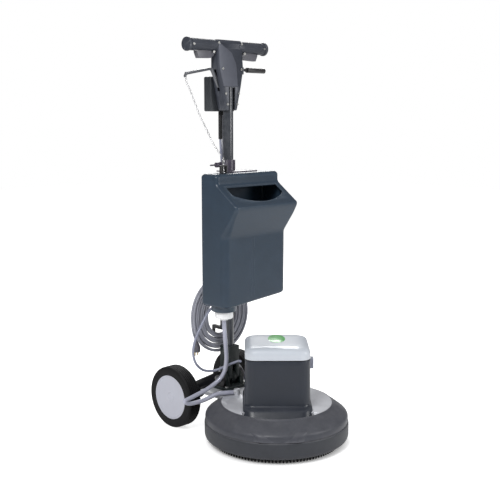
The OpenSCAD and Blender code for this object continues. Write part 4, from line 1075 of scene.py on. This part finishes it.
panel = head_loft("panel", 0, 2.5, pad_grey)
panel_outline = [(-51, 1231), (2, 1200), (19, 1165), (22, 1097), (-37, 1097), (-51, 1150)]
panel_corners = [Vector((x / 1000, y, z / 1000)) for y in (0.15, 0.2045) for x, z in panel_outline]
panel_faces = [tuple(range(6)), tuple(range(11, 5, -1))]
panel_faces += [(k, k + 6, (k + 1) % 6 + 6, (k + 1) % 6) for k in range(6)]
prism = shaped("prism", panel_corners, panel_faces, pad_grey)
panel = softened(cut(panel, [prism], keep="INTERSECT"), 0.9, 50)
panel.data.materials.clear()
panel.data.materials.append(pad_grey)
panel.name = "head_panel"
ride_as(panel, "pole", "head_shells", "head_front")

steel_lever = finish("lever_paint", (0.075, 0.080, 0.092), 0.36, metal=0.2, size=0.0014, depth=0.00006,
    worn_and_highlight=(0.4, 0.4, 0.42), film=0.1)
eased_copy("water_lever", "lever", "lever_steel", steel_lever, 0.8)
trigger_grey = finish("trigger_plastic", (0.10, 0.10, 0.118), 0.38, size=0.0014, depth=0.00006, film=0.1)
eased_copy("trigger_left", "trigger_l", "triggers", trigger_grey, 1.4, 3)
eased_copy("trigger_right", "trigger_r", "triggers", trigger_grey, 1.4, 3)
for s in (-1, 1):
    pin = turned("trigger_pin", [(0, -15.6), (3.6, -15.6), (4.4, -14.8), (4.4, -13.6), (2.2, -13.4),
        (2.2, 12), (0, 12)], zinc, (66 * s, 219, 1200), "Y", steps=32)
    pin.name = "trigger_pin_" + ("l" if s < 0 else "r")
    ride_as(pin, "pole", "head_shells")

grip_black = finish("grip_rubber", (0.011, 0.011, 0.012), 0.5, size=0.001, depth=0.0001, uneven=0.2,
    film=0.12)
eased_copy("adjust_lever", "adjuster", "adjust_grip", black_steel, 0.8)
ribs = [(0, 86), (6.2, 86), (7.6, 87)]
for k in range(12):
    at = 90.5 + 6 * k
    ribs += [(7.9, at - 2.2), (7.9, at + 1.4), (6.9, at + 2.0), (6.9, at + 3.1)]
ribs += [(7.9, 162), (7.2, 164), (5.4, 165), (0, 165)]
grip_skin = turned("adjust_grip_skin", ribs, grip_black, (0, 215, 1150), "X", steps=40, angle=30)
ride_as(grip_skin, "adjuster", "adjust_grip")


# ---- Head screws ----
# Plated pan head screws with a cross recess. They go in from the front and hold the two half
# shells together, in pairs down the head and one near the end of each grip.

screw_set, gin, gout = group_with("cross_screws", "GeometryNodeTree",
    [("Places", MESH, None), ("Head radius", FLOAT, 0.0036), ("Head height", FLOAT, 0.0030),
     ("Recess width", FLOAT, 0.0009), ("Seed", "NodeSocketInt", 3),
     ("Material", "NodeSocketMaterial", None)], [("Screws", MESH)])
screw_head = node_set(screw_set, "GeometryNodeMeshCylinder",
    ins={"Vertices": 28, "Radius": gin.outputs["Head radius"], "Depth": gin.outputs["Head height"]})
recess_length = calc(screw_set, "MULTIPLY", gin.outputs["Head radius"], 1.2)
sunk = screw_head
up_by = node_set(screw_set, "ShaderNodeCombineXYZ",
    ins={2: calc(screw_set, "MULTIPLY", gin.outputs["Head height"], 0.5)})
for a in (0, 1):
    slot_size = node_set(screw_set, "ShaderNodeCombineXYZ",
        ins={a: recess_length, 1 - a: gin.outputs["Recess width"], 2: 0.002})
    slot_bar = node_set(screw_set, "GeometryNodeMeshCube", ins={"Size": slot_size.outputs[0]})
    slot_raised = node_set(screw_set, "GeometryNodeTransform",
        ins={"Geometry": slot_bar.outputs[0], "Translation": up_by.outputs[0]})
    less = node_set(screw_set, "GeometryNodeMeshBoolean",
        props={"operation": "DIFFERENCE", "solver": "EXACT"})
    screw_set.links.new(sunk.outputs[0], less.inputs[0])
    screw_set.links.new(slot_raised.outputs[0], less.inputs[1])
    sunk = less
facing = node_set(screw_set, "GeometryNodeTransform", ins={"Geometry": sunk.outputs[0],
    "Rotation": (math.radians(90), 0, 0)})
screw_points = node_set(screw_set, "GeometryNodeMeshToPoints", ins={0: gin.outputs["Places"]})
quarter_turn = 1.57
twist = node_set(screw_set, "FunctionNodeRandomValue", props={"data_type": "FLOAT_VECTOR"},
    ins={0: (0, 0, 0), 1: (0, quarter_turn, 0), "Seed": gin.outputs["Seed"]})
driven = node_set(screw_set, "GeometryNodeInstanceOnPoints",
    ins={"Points": screw_points.outputs[0], "Instance": facing.outputs[0], "Rotation": twist.outputs[0]})
ended(screw_set, gin, gout, driven.outputs[0], smooth=False)
screw_places = [(49, 201.1, 1228), (40, 193.7, 1150), (28, 192.6, 1075), (21, 192.6, 1042),
                (152, 200.9, 1219)]
screw_mesh = bpy.data.meshes.new("screw_places")
screw_verts = [(s * x / 1000, y / 1000, z / 1000) for x, y, z in screw_places for s in (-1, 1)]
screw_mesh.from_pydata(screw_verts, [], [])
screws = grown("head_screw_set", screw_set, {"Material": zinc}, screw_mesh)
ride_as(screws, "pole", "bolts", "head_screws")


# ---- Control box ----
# A plain moulded box screwed to the back of the head, with the circuit board inside it. A fine
# groove round it shows where the lid meets the box.

box_grey = finish("box_plastic", (0.030, 0.034, 0.040), 0.42, size=0.0014, depth=0.00008, uneven=0.2,
    film=0.2)
BOX = [(1020, 3), (1021, 1), (1023.5, 0), (1123.5, 0), (1126, 1), (1127, 3)]
box_shell = lofted("control_box_skin", [rounded(52 - i, 236.2, 270 - i, 5, z, 6) for z, i in BOX],
    box_grey)
lid_line = block("lid_line", (-60, 262, 1019), (60, 262.8, 1128))
ring_keep = block("lid_core", (-50.8, 236, 1021.5), (50.8, 275, 1125.5))
cut(lid_line, [ring_keep])
cut(box_shell, [lid_line])
softened(box_shell, 0.3)
ride_as(box_shell, "pole", "control_box", "control_box")


# ---- Cord hooks and cable boots ----
# Black painted steel hooks clamped round the pole, for the mains cable to be wound on, and the
# black rubber boots that the cables pass through.

eased_copy("cord_hooks", "pole", "black_steel", black_steel, 1.0)
boot_black = finish("boot_rubber", (0.009, 0.009, 0.010), 0.55, size=0.0012, depth=0.00008, film=0.15)
eased_copy("cable_sleeves", "pole", "sleeves", boot_black, 0.8)


# ---- Hidden pieces ----
# The motor's inside, the gears, the bearings and the board stay as modelled, each in its own
# metal, plastic or winding finish.

cast_grey = finish("cast_grey", (0.42, 0.43, 0.45), 0.45, metal=0.8, size=0.0016, depth=0.0001)
cut_steel = finish("cut_steel", (0.45, 0.45, 0.47), 0.28, metal=1.0, size=0.0008, depth=0.00002, rub_and_highlight=0.2)
laminated = finish("laminated_steel", (0.20, 0.20, 0.21), 0.45, metal=0.7, size=0.0006, depth=0.0001)
can_black = finish("can_plastic", (0.02, 0.02, 0.022), 0.35)
drive_grey = finish("drive_plastic", (0.05, 0.05, 0.058), 0.45)
board_green = finish("board_laminate", (0.01, 0.09, 0.03), 0.35, size=0.002, uneven=0.3)
for material, names in ((cast_grey, ("motor_frame", "end_shield", "gearbox_case")),
        (cut_steel, ("bearings", "ring_gear", "wheel_axle", "planet_carrier", "motor_shaft", "sun_gear",
                     "planet_gear_1", "planet_gear_2", "planet_gear_3", "brake_rod")),
        (laminated, ("stator", "rotor_core")), (can_black, ("capacitor", "cooling_fan")),
        (drive_grey, ("drive_plate",)), (board_green, ("circuit_board",))):
    for each in names:
        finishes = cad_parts[each].data.materials
        finishes.clear()
        finishes.append(material)
